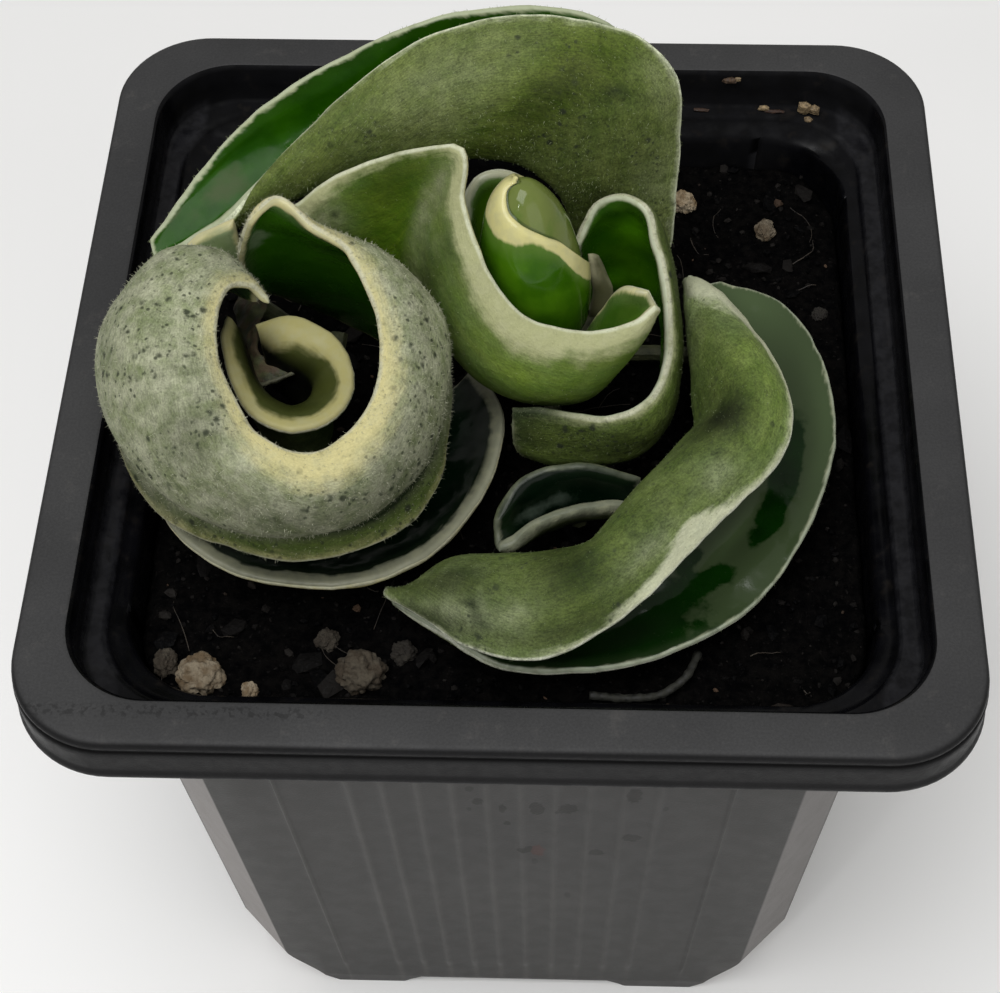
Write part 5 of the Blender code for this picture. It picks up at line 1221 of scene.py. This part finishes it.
def pot_profile():
    """Outlines of the pot from the middle of its base, up outside, over and down inside."""
    rows = []

    def add(height, half, leg, roundness, zone, ribs=0.0, foot=False, inset=0.0):
        rows.append((pot_outline(half, leg, roundness, height, ribs, foot, inset), zone))

    add(0, 12, 4, 0.5, 0)
    add(0, wall_half(0) - BASE_INSET - 1.6, FOOT_LEG - 1.2, 0, 0)
    add(0.02, wall_half(0) - BASE_INSET, FOOT_LEG - 1, 0, 0)
    add(FOOT_RISE - 0.35, wall_half(FOOT_RISE) - 0.3, FOOT_LEG, 0, 0, foot=True, inset=0.3)
    add(FOOT_RISE + 0.02, wall_half(FOOT_RISE), FOOT_LEG, 0, 0, foot=True, inset=0.02)
    for height in (2.7, 3.4, 4.6, 6.2, 7.4, 8.2, 9.0, 9.8, 10.4, 11.2, 12.4, 14.5, 18, 23, 29,
                   36, 43, 50, 57, 64, 70, 75, 78.5, 80.5, 81.6, 82.3, 82.8, 83.1):
        lean = smooth_step((height - FOOT_RISE) / (FACET_FOOT - FOOT_RISE))
        leg = FOOT_LEG + (CORNER_LEG - FOOT_LEG) * (0.35 * lean + 0.65 * min(
            1.0, (height - FOOT_RISE) / (FACET_FOOT - FOOT_RISE)))
        ribs = float(smooth_step((height - 6.5) / 3.2) * smooth_step((83.2 - height) / 1.4))
        add(height, wall_half(height), leg, 0, 0, ribs=ribs)
    inner = RIM_HALF - RIM_EDGE - RIM_WIDTH
    for height, half, leg, zone in (
            (83.4, 37.5, CORNER_LEG, 0), (83.8, inner + 0.4, 7.0, 0),
            (84.0, inner + 0.9, 7.6, 0), (86.4, inner + 1.0, 7.7, 0), (88.9, inner + 1.1, 7.8, 0),
            (88.8, 43.7, 8.9, 0), (86.4, 43.8, 8.9, 0), (84.25, 43.95, 9.0, 1),
            (84.02, 44.3, 9.2, 1), (84.0, 44.8, 9.5, 1), (84.12, 45.1, 9.7, 1),
            (84.4, 45.28, 9.8, 1), (84.75, 45.3, 9.8, 1), (85.05, 45.22, 9.75, 1),
            (85.3, 45.1, 9.7, 1), (85.7, 45.06, 9.68, 1), (86.6, 45.05, 9.66, 1),
            (87.7, 45.02, 9.64, 1), (88.3, 45.0, 9.6, 1), (88.5, 44.93, 9.58, 1),
            (88.62, 44.8, 9.55, 1), (88.78, 44.76, 9.53, 1), (88.95, 44.82, 9.54, 1),
            (89.2, 44.88, 9.55, 1), (89.5, 44.82, 9.5, 1), (89.75, 44.66, 9.42, 1),
            (89.92, 44.42, 9.35, 1), (90.0, 44.1, 9.25, 1), (90.0, 42.3, 8.8, 1),
            (90.0, 40.55, 8.35, 1), (89.93, 40.28, 8.25, 1), (89.75, 40.05, 8.15, 2),
            (89.4, 39.92, 8.1, 2), (87.4, 39.8, 8.0, 2), (85.4, 39.7, 8.0, 2),
            (85.08, 39.55, 8.0, 2), (85.0, 39.2, 8.1, 2), (85.0, 38.3, 8.6, 2),
            (84.88, 38.0, 8.8, 2), (84.55, 37.85, 8.9, 2), (84.2, 37.65, 9.0, 2),
            (83.9, 37.1, 9.0, 2), (83.7, 36.45, 9.0, 2), (83.3, 36.15, 9.0, 2),
            (82.6, 36.05, 9.0, 2), (81.0, 35.97, 9.0, 2), (78.0, 35.85, 9.0, 2),
            (70.0, wall_half(70) - WALL, INNER_CORNER, 2),
            (40.0, wall_half(40) - WALL, INNER_CORNER, 2),
            (FACET_FOOT + 0.5, wall_half(FACET_FOOT) - WALL, INNER_CORNER, 2),
            (FOOT_RISE + FLOOR, wall_half(FOOT_RISE) - WALL - 0.2, FLOOR_CORNER, 2),
            (FLOOR, wall_half(0) - BASE_INSET - 0.2, FLOOR_CORNER, 2),
            (FLOOR, 12, 5, 2)):
        add(height, half, leg, 0.0 if half < 37.6 and zone == 0 else 1.0, zone)
    return rows


# Painted reflection on the corner facets: the share of it at each corner, from the back right.
FACETS = (0.28, 0.42, 1.0, 0.5)      # brightness of the corner facets, from the back right


def pot_marks(columns):
    """Share of the painted reflection on the corner facets and of the painted highlight on the ribs and
    creases at each column of the outlines.
    """
    quarter = columns // 4
    facets = np.zeros(columns)
    ribs = np.zeros(columns)
    for number, share in enumerate(FACETS):
        start = number * quarter
        facets[start + 1:start + POT_CORNER_POINTS - 1] = share
        for i, (_, proud, kind) in enumerate(WALL_POINTS):
            ribs[start + POT_CORNER_POINTS + i] = proud / (RIB_PROUD if kind == 1 else CREASE_PROUD)
    return facets, ribs


def build_pot(finishes):
    """Pot with its wall, rim and inside as one closed shell."""
    rows = pot_profile()
    columns = len(rows[0][0])
    points = [p for outline, _ in rows for p in outline]
    indices = [zone for _, zone in rows[1:] for _ in range(columns)] + [0, 2]
    pot = object_from("pot_shell", points, tube_faces(len(rows), columns), finishes, indices)
    facets, ribs = pot_marks(columns)
    store(pot, "facet", np.tile(facets, len(rows)))
    store(pot, "rib", np.tile(ribs, len(rows)))
    settle(pot, "pot")


SPLASHES = [           # across, up, reach across and up, colour
    (-3.5, 64.4, 0.35, 0.5, (0.014, 0.013, 0.012)),
    (-2.7, 61.1, 0.45, 0.7, (0.006, 0.005, 0.004)),
    (-3.7, 59.0, 0.2, 0.4, (0.014, 0.013, 0.012)),
    (-0.2, 59.3, 0.3, 0.9, (0.006, 0.005, 0.004)),
    (0.2, 55.2, 0.3, 0.5, (0.006, 0.005, 0.004)),
    (3.4, 59.4, 0.6, 1.3, (0.006, 0.005, 0.004)),
    (6.5, 59.5, 0.85, 1.1, (0.006, 0.005, 0.004)),
    (13.4, 63.5, 0.6, 1.5, (0.006, 0.005, 0.004)),
    (16.7, 60.1, 0.25, 0.5, (0.014, 0.013, 0.012)),
    (13.5, 51.8, 0.8, 0.8, (0.006, 0.005, 0.004)),
    (9.7, 47.3, 0.7, 0.7, (0.006, 0.005, 0.004)),
    (2.2, 47.9, 0.8, 0.7, (0.006, 0.005, 0.004)),
    (3.4, 47.6, 0.6, 1.2, (0.045, 0.018, 0.015)),
    (3.0, 44.3, 0.3, 0.6, (0.014, 0.013, 0.012)),
    (6.7, 33.7, 0.3, 0.6, (0.014, 0.013, 0.012)),
]


def wall_marks(graph, colour):
    """Dried splashes of mix on the front wall."""
    across = graph.part("X")
    up = graph.part("Z")
    front = graph.span(graph.part("Y"), -25.0, -30.0)
    torn = graph.middle(graph.noise(1.2, 4.0, rough=0.6), -0.7, 0.7)
    for x, z, wide, high, tint in SPLASHES:
        far = graph.sum("DIVIDE", graph.minus(across, x), wide)
        tall = graph.sum("DIVIDE", graph.minus(up, z), high)
        away = graph.plus(graph.times(far, far), graph.times(tall, tall))
        mask = graph.span(graph.plus(away, torn), 1.9, 1.4)
        colour = graph.tinted(colour, tint, mask, front, 0.9)
    return colour


def wall_finish():
    """Satin plastic of the outer wall, with painted highlights on its ribs, painted reflections on its
    corner facets, and dried splashes.
    """
    graph = Graph("plastic_wall")
    cloud = graph.middle(graph.noise(0.05, 4.0))
    colour = graph.mix(cloud, (0.027, 0.0262, 0.025), (0.033, 0.0318, 0.03))
    splash = graph.span(graph.noise(0.3, 5.0, rough=0.65), 0.64, 0.7)
    high = graph.span(graph.part("Z"), 50.0, 80.0)
    colour = graph.tinted(colour, (0.012, 0.009, 0.008), splash, high, 0.55)
    # Painted highlight on the rib and crease crests, stronger to the left.
    leftward = graph.span(graph.part("X"), 30.0, -20.0, 0.12, 0.75)
    crest = graph.times(graph.value("rib"), leftward)
    colour = graph.lit(colour, graph.plus(crest, 1.0))
    # Painted reflection on the corner facets.
    colour = graph.mix(graph.value("facet"), colour, (0.23, 0.213, 0.205))
    colour = wall_marks(graph, colour)
    grain = graph.noise(5.0, 3.0)
    colour = graph.lit(colour, graph.middle(grain, 0.93, 1.07))
    return graph.finish(colour, graph.middle(graph.noise(0.4, 4.0), 0.48, 0.53),
                        graph.bump(grain, 0.025), Specular_IOR_Level=0.25)


def rim_finish():
    """Matt plastic of the rim, dusty, worn at the front left, darker below its flat top (partly its
    blacker plastic, partly painted shade) and with painted shade in its groove.
    """
    graph = Graph("plastic_rim")
    cloud = graph.middle(graph.noise(0.07, 5.0))
    colour = graph.mix(cloud, (0.038, 0.038, 0.039), (0.047, 0.047, 0.048))
    dusty = graph.span(graph.noise(0.35, 5.0, rough=0.7), 0.55, 0.75)
    colour = graph.tinted(colour, (0.1, 0.095, 0.09), dusty, 0.25)
    back = graph.part("Y")
    height = graph.part("Z")
    strip = graph.times(graph.span(back, -42.3, -41.6), graph.span(back, -40.3, -41.0))
    worn = graph.times(graph.span(graph.part("X"), -12.0, -20.0), strip)
    chips = graph.span(graph.noise(1.6, 4.0, rough=0.6), 0.5, 0.58)
    colour = graph.tinted(colour, (0.01, 0.01, 0.01), worn, chips, 0.45)
    # Below the flat top: darker, partly its blacker plastic and partly painted shade.
    low = graph.span(height, 89.98, 89.7)
    colour = graph.tinted(colour, (0.008, 0.008, 0.0085), low, 0.9)
    # Painted shade in the groove.
    groove = graph.times(graph.span(height, 88.4, 88.65), graph.span(height, 89.1, 88.85))
    colour = graph.mix(groove, colour, (0.001, 0.001, 0.0012))
    grain = graph.noise(4.0, 4.0, rough=0.6)
    colour = graph.lit(colour, graph.middle(grain, 0.9, 1.1))
    return graph.finish(colour, graph.middle(graph.noise(0.8, 4.0), 0.38, 0.5),
                        graph.bump(grain, 0.03), Specular_IOR_Level=0.08)


def inside_finish():
    """Glossy plastic of the inner wall, smeared, and lighter in streaks on the side ledges."""
    graph = Graph("plastic_inside")
    cloud = graph.middle(graph.noise(0.3, 4.0))
    colour = graph.mix(cloud, (0.0012, 0.0012, 0.0016), (0.003, 0.003, 0.004))
    smear = graph.span(graph.noise(0.5, 5.0, rough=0.6), 0.56, 0.74)
    colour = graph.tinted(colour, (0.05, 0.04, 0.03), smear, 0.12)
    height = graph.part("Z")
    ledge = graph.times(graph.span(height, 84.3, 84.7), graph.span(height, 86.6, 85.6))
    beside = graph.span(graph.sum("ABSOLUTE", graph.part("X")), 35.4, 36.2)
    # Lighter streaks on the side ledges.
    ledge_streaks = graph.middle(graph.noise(0.9, 4.0, rough=0.6), 0.3, 1.0)
    colour = graph.tinted(colour, (0.03, 0.03, 0.034), ledge, beside, ledge_streaks, 0.4)
    rough = graph.middle(graph.noise(0.5, 4.0), 0.16, 0.36)
    rough = graph.plus(rough, graph.span(graph.part("Y"), 34.5, 36.0, 0.0, 0.55))
    return graph.finish(colour, rough, graph.bump(graph.noise(0.5, 3.0), 0.03),
                        Specular_IOR_Level=0.14)


# Potting mix, crumbs, fibres and perlite

GRAINS = [             # across, back, radius
    (-32.8, -31.0, 1.3), (-29.2, -32.2, 2.0), (-24.3, -33.7, 1.0), (-13.7, -31.6, 2.5),
    (-17.2, -28.0, 1.1), (-9.7, -29.1, 1.2), (18.5, 29.4, 1.5), (27.6, 25.3, 1.2),
    (33.2, 13.8, 0.9),
]
# Brightness of each grain, in the order of GRAINS.
GRAIN_TONES = (0.1, 0.45, 0.6, 0.14, 0.08, 0.04, 0.85, 0.3, 0.03)
CRUMBS = 1900
CHIPS = 70
CRUMB_CORNER = 7       # radius of the corners of the square that they lie in
FIBRES = 90


def soil_height(x, y):
    """Height of the mix as the CAD model has it."""
    lumps = noise.noise(Vector((x * 0.21, y * 0.21, SOIL_SEED)))
    crumbs = noise.noise(Vector((x * 0.55, y * 0.55, SOIL_SEED + 5)))
    return SOIL_TOP + SOIL_ROUGH * (lumps + 0.5 * crumbs)


def rough_height(x, y):
    """Height of the mix with its fine grain."""
    fine = noise.noise(Vector((x * 1.3, y * 1.3, 3.0))) * 0.3
    finer = noise.noise(Vector((x * 2.9, y * 2.9, 9.0))) * 0.16
    return soil_height(x, y) + fine + finer


def plain_outline(half, leg, height, corner=14, side=44):
    """Square outline with round corners and points spread along its sides."""
    points = []
    for quarter in range(4):
        turn = Matrix.Rotation(quarter * math.pi / 2, 3, "Z")
        points += corner_points(half, leg, height, corner, 1.0, turn)
        for i in range(1, side):
            share = i / side
            points.append(turn @ Vector(((half - leg) * (1 - 2 * share), half, height)))
    return points


def build_soil(finish):
    """Bed of mix that fills the pot, with a rough top."""
    gap = WALL + SOIL_CLEAR
    top_half = wall_half(SOIL_TOP) - gap
    rows = [
        plain_outline(8, 4, FLOOR + SOIL_CLEAR),
        plain_outline(wall_half(0) - BASE_INSET - 0.5, FLOOR_CORNER, FLOOR + SOIL_CLEAR),
        plain_outline(wall_half(FOOT_RISE) - gap - 0.3, FLOOR_CORNER, FOOT_RISE + FLOOR + 0.4),
        plain_outline(wall_half(FACET_FOOT) - gap, INNER_CORNER, FACET_FOOT + 0.8),
    ]
    for i in range(SOIL_RINGS):
        share = 1 - i / SOIL_RINGS
        sink = 0.5 if i == 0 else 0
        rows.append([Vector((p.x, p.y, rough_height(p.x, p.y) - sink))
                     for p in plain_outline(top_half * share, INNER_CORNER * share, 0)])
    points = [p for row in rows for p in row]
    soil = object_from("mix_bed", points, tube_faces(len(rows), len(rows[0])), [finish])
    settle(soil, "soil")


def ball(subdivisions):
    """Points and faces of a ball of triangles with a radius of 1."""
    bm = bmesh.new()
    bmesh.ops.create_icosphere(bm, subdivisions=subdivisions, radius=1.0)
    points = [v.co.copy() for v in bm.verts]
    faces = [tuple(v.index for v in f.verts) for f in bm.faces]
    bm.free()
    return points, faces


class Bits:
    """Rough little balls, gathered into one piece."""

    def __init__(self, seed):
        self.draw = np.random.default_rng(seed)
        self.base, self.base_faces = ball(1)
        self.base = np.array([p[:] for p in self.base])
        self.points = []
        self.faces = []
        self.tones = []

    def rough_ball(self):
        """Ball with each point moved in or out at random."""
        return self.base * (1 + self.draw.uniform(-0.25, 0.25, len(self.base))[:, None])

    def add(self, shape, place, tone):
        start = len(self.points) * len(self.base)
        self.points.append(shape + np.array(place))
        self.faces.extend(tuple(start + k for k in face) for face in self.base_faces)
        self.tones.append(np.full(len(self.base), tone))

    def build(self, name, finish):
        piece = object_from(name, np.concatenate(self.points), self.faces, [finish], smooth=False)
        store(piece, "tone", np.concatenate(self.tones))
        settle(piece)


def build_crumbs(finish):
    """Bark crumbs and chips that lie on the mix."""
    bits = Bits(11)
    draw = bits.draw
    half = wall_half(SOIL_TOP) - WALL - 0.9
    square = half - CRUMB_CORNER
    for number in range(CRUMBS + CHIPS):
        chip = number >= CRUMBS
        x, y = draw.uniform(-half, half, 2)
        size = draw.uniform(0.9, 2.2) if chip else min(1.1, 0.22 * math.exp(draw.normal(0.25, 0.5)))
        turn = Matrix.Rotation(draw.uniform(0, 6.28), 3, Vector(draw.normal(size=3)).normalized())
        widths, heights = ((0.4, 0.7), (0.16, 0.3)) if chip else ((0.55, 1.0), (0.4, 0.9))
        stretch = np.array([1.0, draw.uniform(*widths), draw.uniform(*heights)])
        tone = draw.uniform(0, 1)
        if max(0.0, abs(x) - square) ** 2 + max(0.0, abs(y) - square) ** 2 > CRUMB_CORNER ** 2:
            continue
        shape = bits.rough_ball() * stretch * size
        if chip:
            turn = Matrix.Rotation(draw.uniform(0, 6.28), 3, "Z") @ Matrix.Rotation(
                draw.uniform(-0.35, 0.35), 3, "X")
        lift = rough_height(x, y) + size * stretch[2] * (0.6 if chip else 0.35)
        bits.add(shape @ np.array(turn).T, (x, y, lift), tone)
    bits.build("bark_crumbs", finish)


CAUGHT = [             # across, back, up, reach along, back and up, tone
    (23.3, 39.45, 89.2, 1.0, 0.35, 0.4, 0.1), (24.3, 39.5, 89.4, 0.35, 0.25, 0.3, 0.8),
    (27.6, 39.0, 85.4, 0.7, 0.35, 0.45, 0.9), (32.1, 38.6, 85.9, 0.8, 0.6, 1.1, 0.8),
    (33.2, 38.5, 85.7, 0.6, 0.6, 0.8, 0.65), (32.6, 37.7, 84.8, 0.6, 0.45, 0.6, 0.55),
    (28.9, 38.7, 85.2, 1.2, 0.25, 0.2, 0.0), (20.4, 38.8, 85.2, 0.9, 0.3, 0.2, 0.02),
]


def build_caught(finish):
    """Bits of mix that lie on the pot's back ledge and rim."""
    bits = Bits(5)
    for x, y, z, wide, deep, high, tone in CAUGHT:
        bits.add(bits.rough_ball() * np.array([wide, deep, high]), (x, y, z), tone)
    bits.build("caught_bits", finish)


def strand(route, radii, sides, start=0):
    """Points and faces of a thin closed tube along a route."""
    route = np.asarray(route, float)
    ahead = unit(np.gradient(route, axis=0))
    lead = np.array([0.0, 0.0, 1.0]) if abs(ahead[0][2]) < 0.9 else np.array([1.0, 0.0, 0.0])
    side = unit(np.cross(ahead, lead))
    up = np.cross(side, ahead)
    angles = np.arange(sides) * 2 * math.pi / sides
    ring = (np.cos(angles)[None, :, None] * side[:, None, :]
            + np.sin(angles)[None, :, None] * up[:, None, :])
    points = route[:, None, :] + ring * np.asarray(radii)[:, None, None]
    return points.reshape(-1, 3), tube_faces(len(route), sides, start)


def build_fibres(finish):
    """Thin root hairs and bark fibres that lie on the mix."""
    draw = np.random.default_rng(23)
    points = []
    faces = []
    start = 0
    half = wall_half(SOIL_TOP) - WALL - 3
    for number in range(FIBRES):
        x, y = draw.uniform(-half, half, 2)
        heading = draw.uniform(0, 2 * math.pi)
        bend = draw.uniform(-0.25, 0.25)
        length = draw.uniform(2.0, 7.0)
        radius = draw.uniform(0.04, 0.1)
        route = []
        for i in range(9):
            route.append((x, y, rough_height(x, y) + 0.25 + 0.25 * math.sin(i * 0.8 + number)))
            x = max(-half, min(half, x + math.cos(heading) * length / 8))
            y = max(-half, min(half, y + math.sin(heading) * length / 8))
            heading += bend
        made, made_faces = strand(route, [radius * (1 - 0.06 * i) for i in range(9)], 4, start)
        start += len(made)
        points.append(made)
        faces.extend(made_faces)
    settle(object_from("bark_fibres", np.concatenate(points), faces, [finish]))


def build_perlite(finish):
    """Perlite grains, each one lumpy and pitted in its own way."""
    for number, (x, y, radius) in enumerate(GRAINS, 1):
        draw = random.Random(number)
        base, faces = ball(5)
        squash = Vector((draw.uniform(0.85, 1.1), draw.uniform(0.85, 1.1),
                         draw.uniform(0.7, 0.85)))
        centre = Vector((x, y, soil_height(x, y) + 0.25 * radius))
        points = []
        for p in base:
            lump = 1 + 0.3 * noise.noise(p * 1.6 + Vector((number, 0, 0)))
            pits = noise.noise(p * 4.2 + Vector((0, number, 0)))
            fine = noise.noise(p * 10.0 + Vector((0, 0, number)))
            lump += 0.12 * pits - 0.16 * max(0.0, -pits) + 0.04 * fine
            points.append(p * squash * (radius * lump) + centre)
        grain = object_from(f"perlite_grain_{number}", points, faces, [finish])
        store(grain, "tone", np.full(len(points), GRAIN_TONES[number - 1]))
        settle(grain, f"perlite_{number}")


RUNNER_RADIUS = 0.4


def build_runner(finish):
    """Dry stem that lies on the mix."""
    lift = SOIL_CLEAR + RUNNER_RADIUS + 0.2
    route = np.array([(x, y, soil_height(x, y) + lift) for x, y in RUNNER])
    line = through(chord_knots(route), route, np.linspace(0, 1, 60))
    radii = [RUNNER_RADIUS * (1 + 0.12 * math.sin(i * 0.9) * math.sin(i * 0.37))
             for i in range(60)]
    points, faces = strand(line, radii, 16)
    points = points + noise_at(points, 1.4, 5)[:, None] * 0.06
    settle(object_from("dry_runner", points, faces, [finish]), "runner")


def mix_finish():
    """Damp black potting mix."""
    graph = Graph("potting_mix_bed")
    tone = graph.noise(0.9, 5.0, rough=0.65)
    colour = graph.mix(graph.span(tone, 0.35, 0.7), (0.0006, 0.0006, 0.0008),
                       (0.004, 0.0036, 0.0034))
    bits = graph.span(graph.noise(2.4, 4.0), 0.6, 0.75)
    colour = graph.tinted(colour, (0.02, 0.018, 0.017), bits, 0.35)
    return graph.finish(colour, graph.middle(tone, 0.6, 0.95),
                        graph.bump(graph.noise(1.8, 5.0, rough=0.7), 0.4),
                        Specular_IOR_Level=0.02)


def crumb_finish():
    """Bark from black to grey, with a few rusty crumbs."""
    graph = Graph("bark_crumb")
    tone = graph.value("tone")
    colour = graph.mix(graph.span(tone, 0.3, 1.0), (0.0005, 0.0005, 0.0007),
                       (0.014, 0.0125, 0.0115))
    colour = graph.mix(graph.span(tone, 0.96, 0.98), colour, (0.07, 0.045, 0.03))
    grain = graph.noise(2.2, 4.0)
    colour = graph.mix(graph.span(grain, 0.5, 0.8, 0.0, 0.4), colour, (0.02, 0.018, 0.017))
    return graph.finish(colour, graph.middle(grain, 0.5, 0.9), graph.bump(grain, 0.15),
                        Specular_IOR_Level=0.05)


def caught_finish():
    """Dry bark, from red brown to straw."""
    graph = Graph("caught_bit")
    colour = graph.mix(graph.value("tone"), (0.035, 0.016, 0.009), (0.3, 0.22, 0.12))
    grain = graph.noise(3.0, 4.0)
    colour = graph.lit(colour, graph.middle(grain, 0.5, 1.3))
    return graph.finish(colour, graph.middle(grain, 0.5, 0.9), graph.bump(grain, 0.15))


def sheath_finish():
    """Crumpled dry bract, olive with rust."""
    graph = Graph("dry_sheath")
    cloud = graph.noise(0.7, 5.0, rough=0.6)
    colour = graph.mix(graph.middle(cloud), (0.008, 0.013, 0.003), (0.06, 0.065, 0.022))
    rust = graph.span(graph.noise(0.8, 3.0), 0.42, 0.65)
    colour = graph.tinted(colour, (0.06, 0.032, 0.018), rust, 0.7)
    return graph.finish(colour, graph.middle(cloud, 0.6, 0.85), graph.bump(cloud, 0.3))


def fibre_finish(name, dark, light):
    """Streaked matt skin of a hair, a fibre or a dry stem."""
    graph = Graph(name)
    streak = graph.noise(1.6, 4.0)
    colour = graph.mix(graph.middle(streak), dark, light)
    return graph.finish(colour, graph.middle(streak, 0.6, 0.85), graph.bump(streak, 0.1))


def perlite_finish():
    """Pitted mineral, stained by the mix."""
    graph = Graph("perlite_grain")
    cloud = graph.noise(0.8, 4.0)
    colour = graph.mix(graph.span(cloud, 0.35, 0.65), (0.24, 0.16, 0.08), (0.52, 0.43, 0.3))
    pits = graph.span(graph.noise(2.6, 4.0), 0.52, 0.72)
    colour = graph.tinted(colour, (0.1, 0.065, 0.03), pits, 0.55)
    # Each grain's colour scaled by its tone.
    colour = graph.lit(colour, graph.value("tone"))
    normal = graph.bump(graph.noise(2.2, 5.0, rough=0.65), 0.3)
    return graph.finish(colour, graph.middle(cloud, 0.75, 0.95), normal)


def stem_finish():
    """Olive skin of the vines."""
    graph = Graph("stem_skin")
    colour = graph.mix(graph.middle(graph.noise(0.9, 4.0)), (0.025, 0.03, 0.01),
                       (0.06, 0.065, 0.025))
    rust = graph.span(graph.noise(2.5, 4.0), 0.55, 0.75, 0, 0.5)
    colour = graph.mix(rust, colour, (0.04, 0.028, 0.016))
    return graph.finish(colour, 0.7, graph.bump(graph.noise(3.0, 4.0), 0.12))


# Camera, lights and floor

TURN = -0.0399
ELEVATION = 0.9881
ROLL = 0.0169
ASIDE = 1.7698
UPWARD = -14.8543
AWAY = 201.231
LOOKED_AT = 90.0
SENSOR = 36.0
LENS = 71.53
SHIFT = (-0.03015, 0.00213)
FLOOR_HALF = 1500
LIT_PLACE = (0, 0, 0.09)         # metres, as the places and sizes of the lamps
LAMPS = (              # name, place, size, power
    ("softbox", (-0.1, -0.12, 0.6), 0.4, 2.4),
    ("fill", (0.35, -0.45, 0.4), 0.5, 0.8),
    ("spark", (-0.23, -0.37, 0.49), 0.03, 0.12),
)


def build_camera():
    """Camera at the photograph's viewing angle."""
    right = Vector((1, 0, 0))
    up = Vector((0, math.sin(ELEVATION), math.cos(ELEVATION)))
    back = Vector((0, -math.cos(ELEVATION), math.sin(ELEVATION)))
    rolled_right = math.cos(ROLL) * right - math.sin(ROLL) * up
    rolled_up = math.sin(ROLL) * right + math.cos(ROLL) * up
    turn = Matrix.Rotation(-TURN, 3, "Z")
    place = turn @ (ASIDE * right + UPWARD * up + AWAY * back) + Vector((0, 0, LOOKED_AT))
    axes = Matrix((turn @ rolled_right, turn @ rolled_up, turn @ back)).transposed()
    data = bpy.data.cameras.new("camera")
    data.sensor_fit = "HORIZONTAL"
    data.sensor_width = SENSOR
    data.lens = LENS
    data.shift_x, data.shift_y = SHIFT
    data.clip_start = 0.001
    camera = bpy.data.objects.new("camera", data)
    camera.matrix_world = Matrix.Translation(place * MM) @ axes.to_4x4()
    bpy.context.scene.collection.objects.link(camera)
    bpy.context.scene.camera = camera


def area_light(name, place, size, power):
    """Square lamp that looks at the plant."""
    data = bpy.data.lights.new(name, "AREA")
    data.shape = "RECTANGLE"
    data.size = size
    data.size_y = size
    data.energy = power
    lamp = bpy.data.objects.new(name, data)
    lamp.location = place
    lamp.rotation_euler = (Vector(LIT_PLACE) - Vector(place)).to_track_quat("-Z", "Y").to_euler()
    bpy.context.scene.collection.objects.link(lamp)


def build_light():
    """Pale studio with three soft lamps."""
    world = bpy.data.worlds.new("studio")
    bpy.context.scene.world = world
    world.use_nodes = True
    sky = world.node_tree.nodes["Background"]
    sky.inputs["Color"].default_value = (1.0, 0.985, 0.95, 1.0)
    sky.inputs["Strength"].default_value = 0.34
    for lamp in LAMPS:
        area_light(*lamp)
    bpy.context.scene.view_settings.view_transform = "Standard"
    bpy.context.scene.view_settings.look = "None"


def build_floor():
    """Pale floor under the pot."""
    graph = Graph("pale_floor")
    colour = graph.mix(graph.noise(0.02, 3.0), (0.97, 0.97, 0.97), (0.98, 0.98, 0.98))
    finish = graph.finish(colour, 0.9)
    corners = [(FLOOR_HALF * x, FLOOR_HALF * y, 0) for x, y in ((-1, -1), (1, -1), (1, 1), (-1, 1))]
    object_from("floor", corners, [(0, 1, 2, 3)], [finish])


def build():
    """Camera, light and floor, then every piece of the plant and its pot."""
    build_camera()
    build_light()
    build_floor()
    finishes = leaf_finishes()
    for number, (node, (net, felt_up, slot, thick)) in enumerate(NETS.items()):
        sheet = build_leaf(node, net, felt_up, thick, 40 + 10 * number, finishes[node])
        if node in HAIRS:
            build_hairs(node, sheet, felt_up, 60 + number)
    # Bud skin: its wash is the dome's real grey-green, its deep colour painted shade between the outer
    # turn and the dome.
    build_bud(gloss_finish("bud_skin", (0.02, 0.08, 0.001), (0.06, 0.16, 0.004),
                           cream=(0.58, 0.54, 0.24), roughness=0.13, soft=0.22, streaks=0.5,
                           blotches=0.6, grey=(0.12, 0.2, 0.04), wash=(0.13, 0.165, 0.04),
                           wash_soft=0.45))
    build_pot([wall_finish(), rim_finish(), inside_finish()])
    build_soil(mix_finish())
    build_crumbs(crumb_finish())
    build_caught(caught_finish())
    build_heart(sheath_finish(), fibre_finish("sheath_strand", (0.03, 0.03, 0.016),
                                              (0.08, 0.08, 0.045)))
    build_fibres(fibre_finish("fibre", (0.008, 0.006, 0.005), (0.04, 0.03, 0.02)))
    build_perlite(perlite_finish())
    build_runner(fibre_finish("runner_skin", (0.005, 0.0053, 0.0037), (0.022, 0.022, 0.016)))
    skin = stem_finish()
    for node in ("left_vine", "right_vine"):
        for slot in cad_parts[node].material_slots:
            slot.material = skin


build()
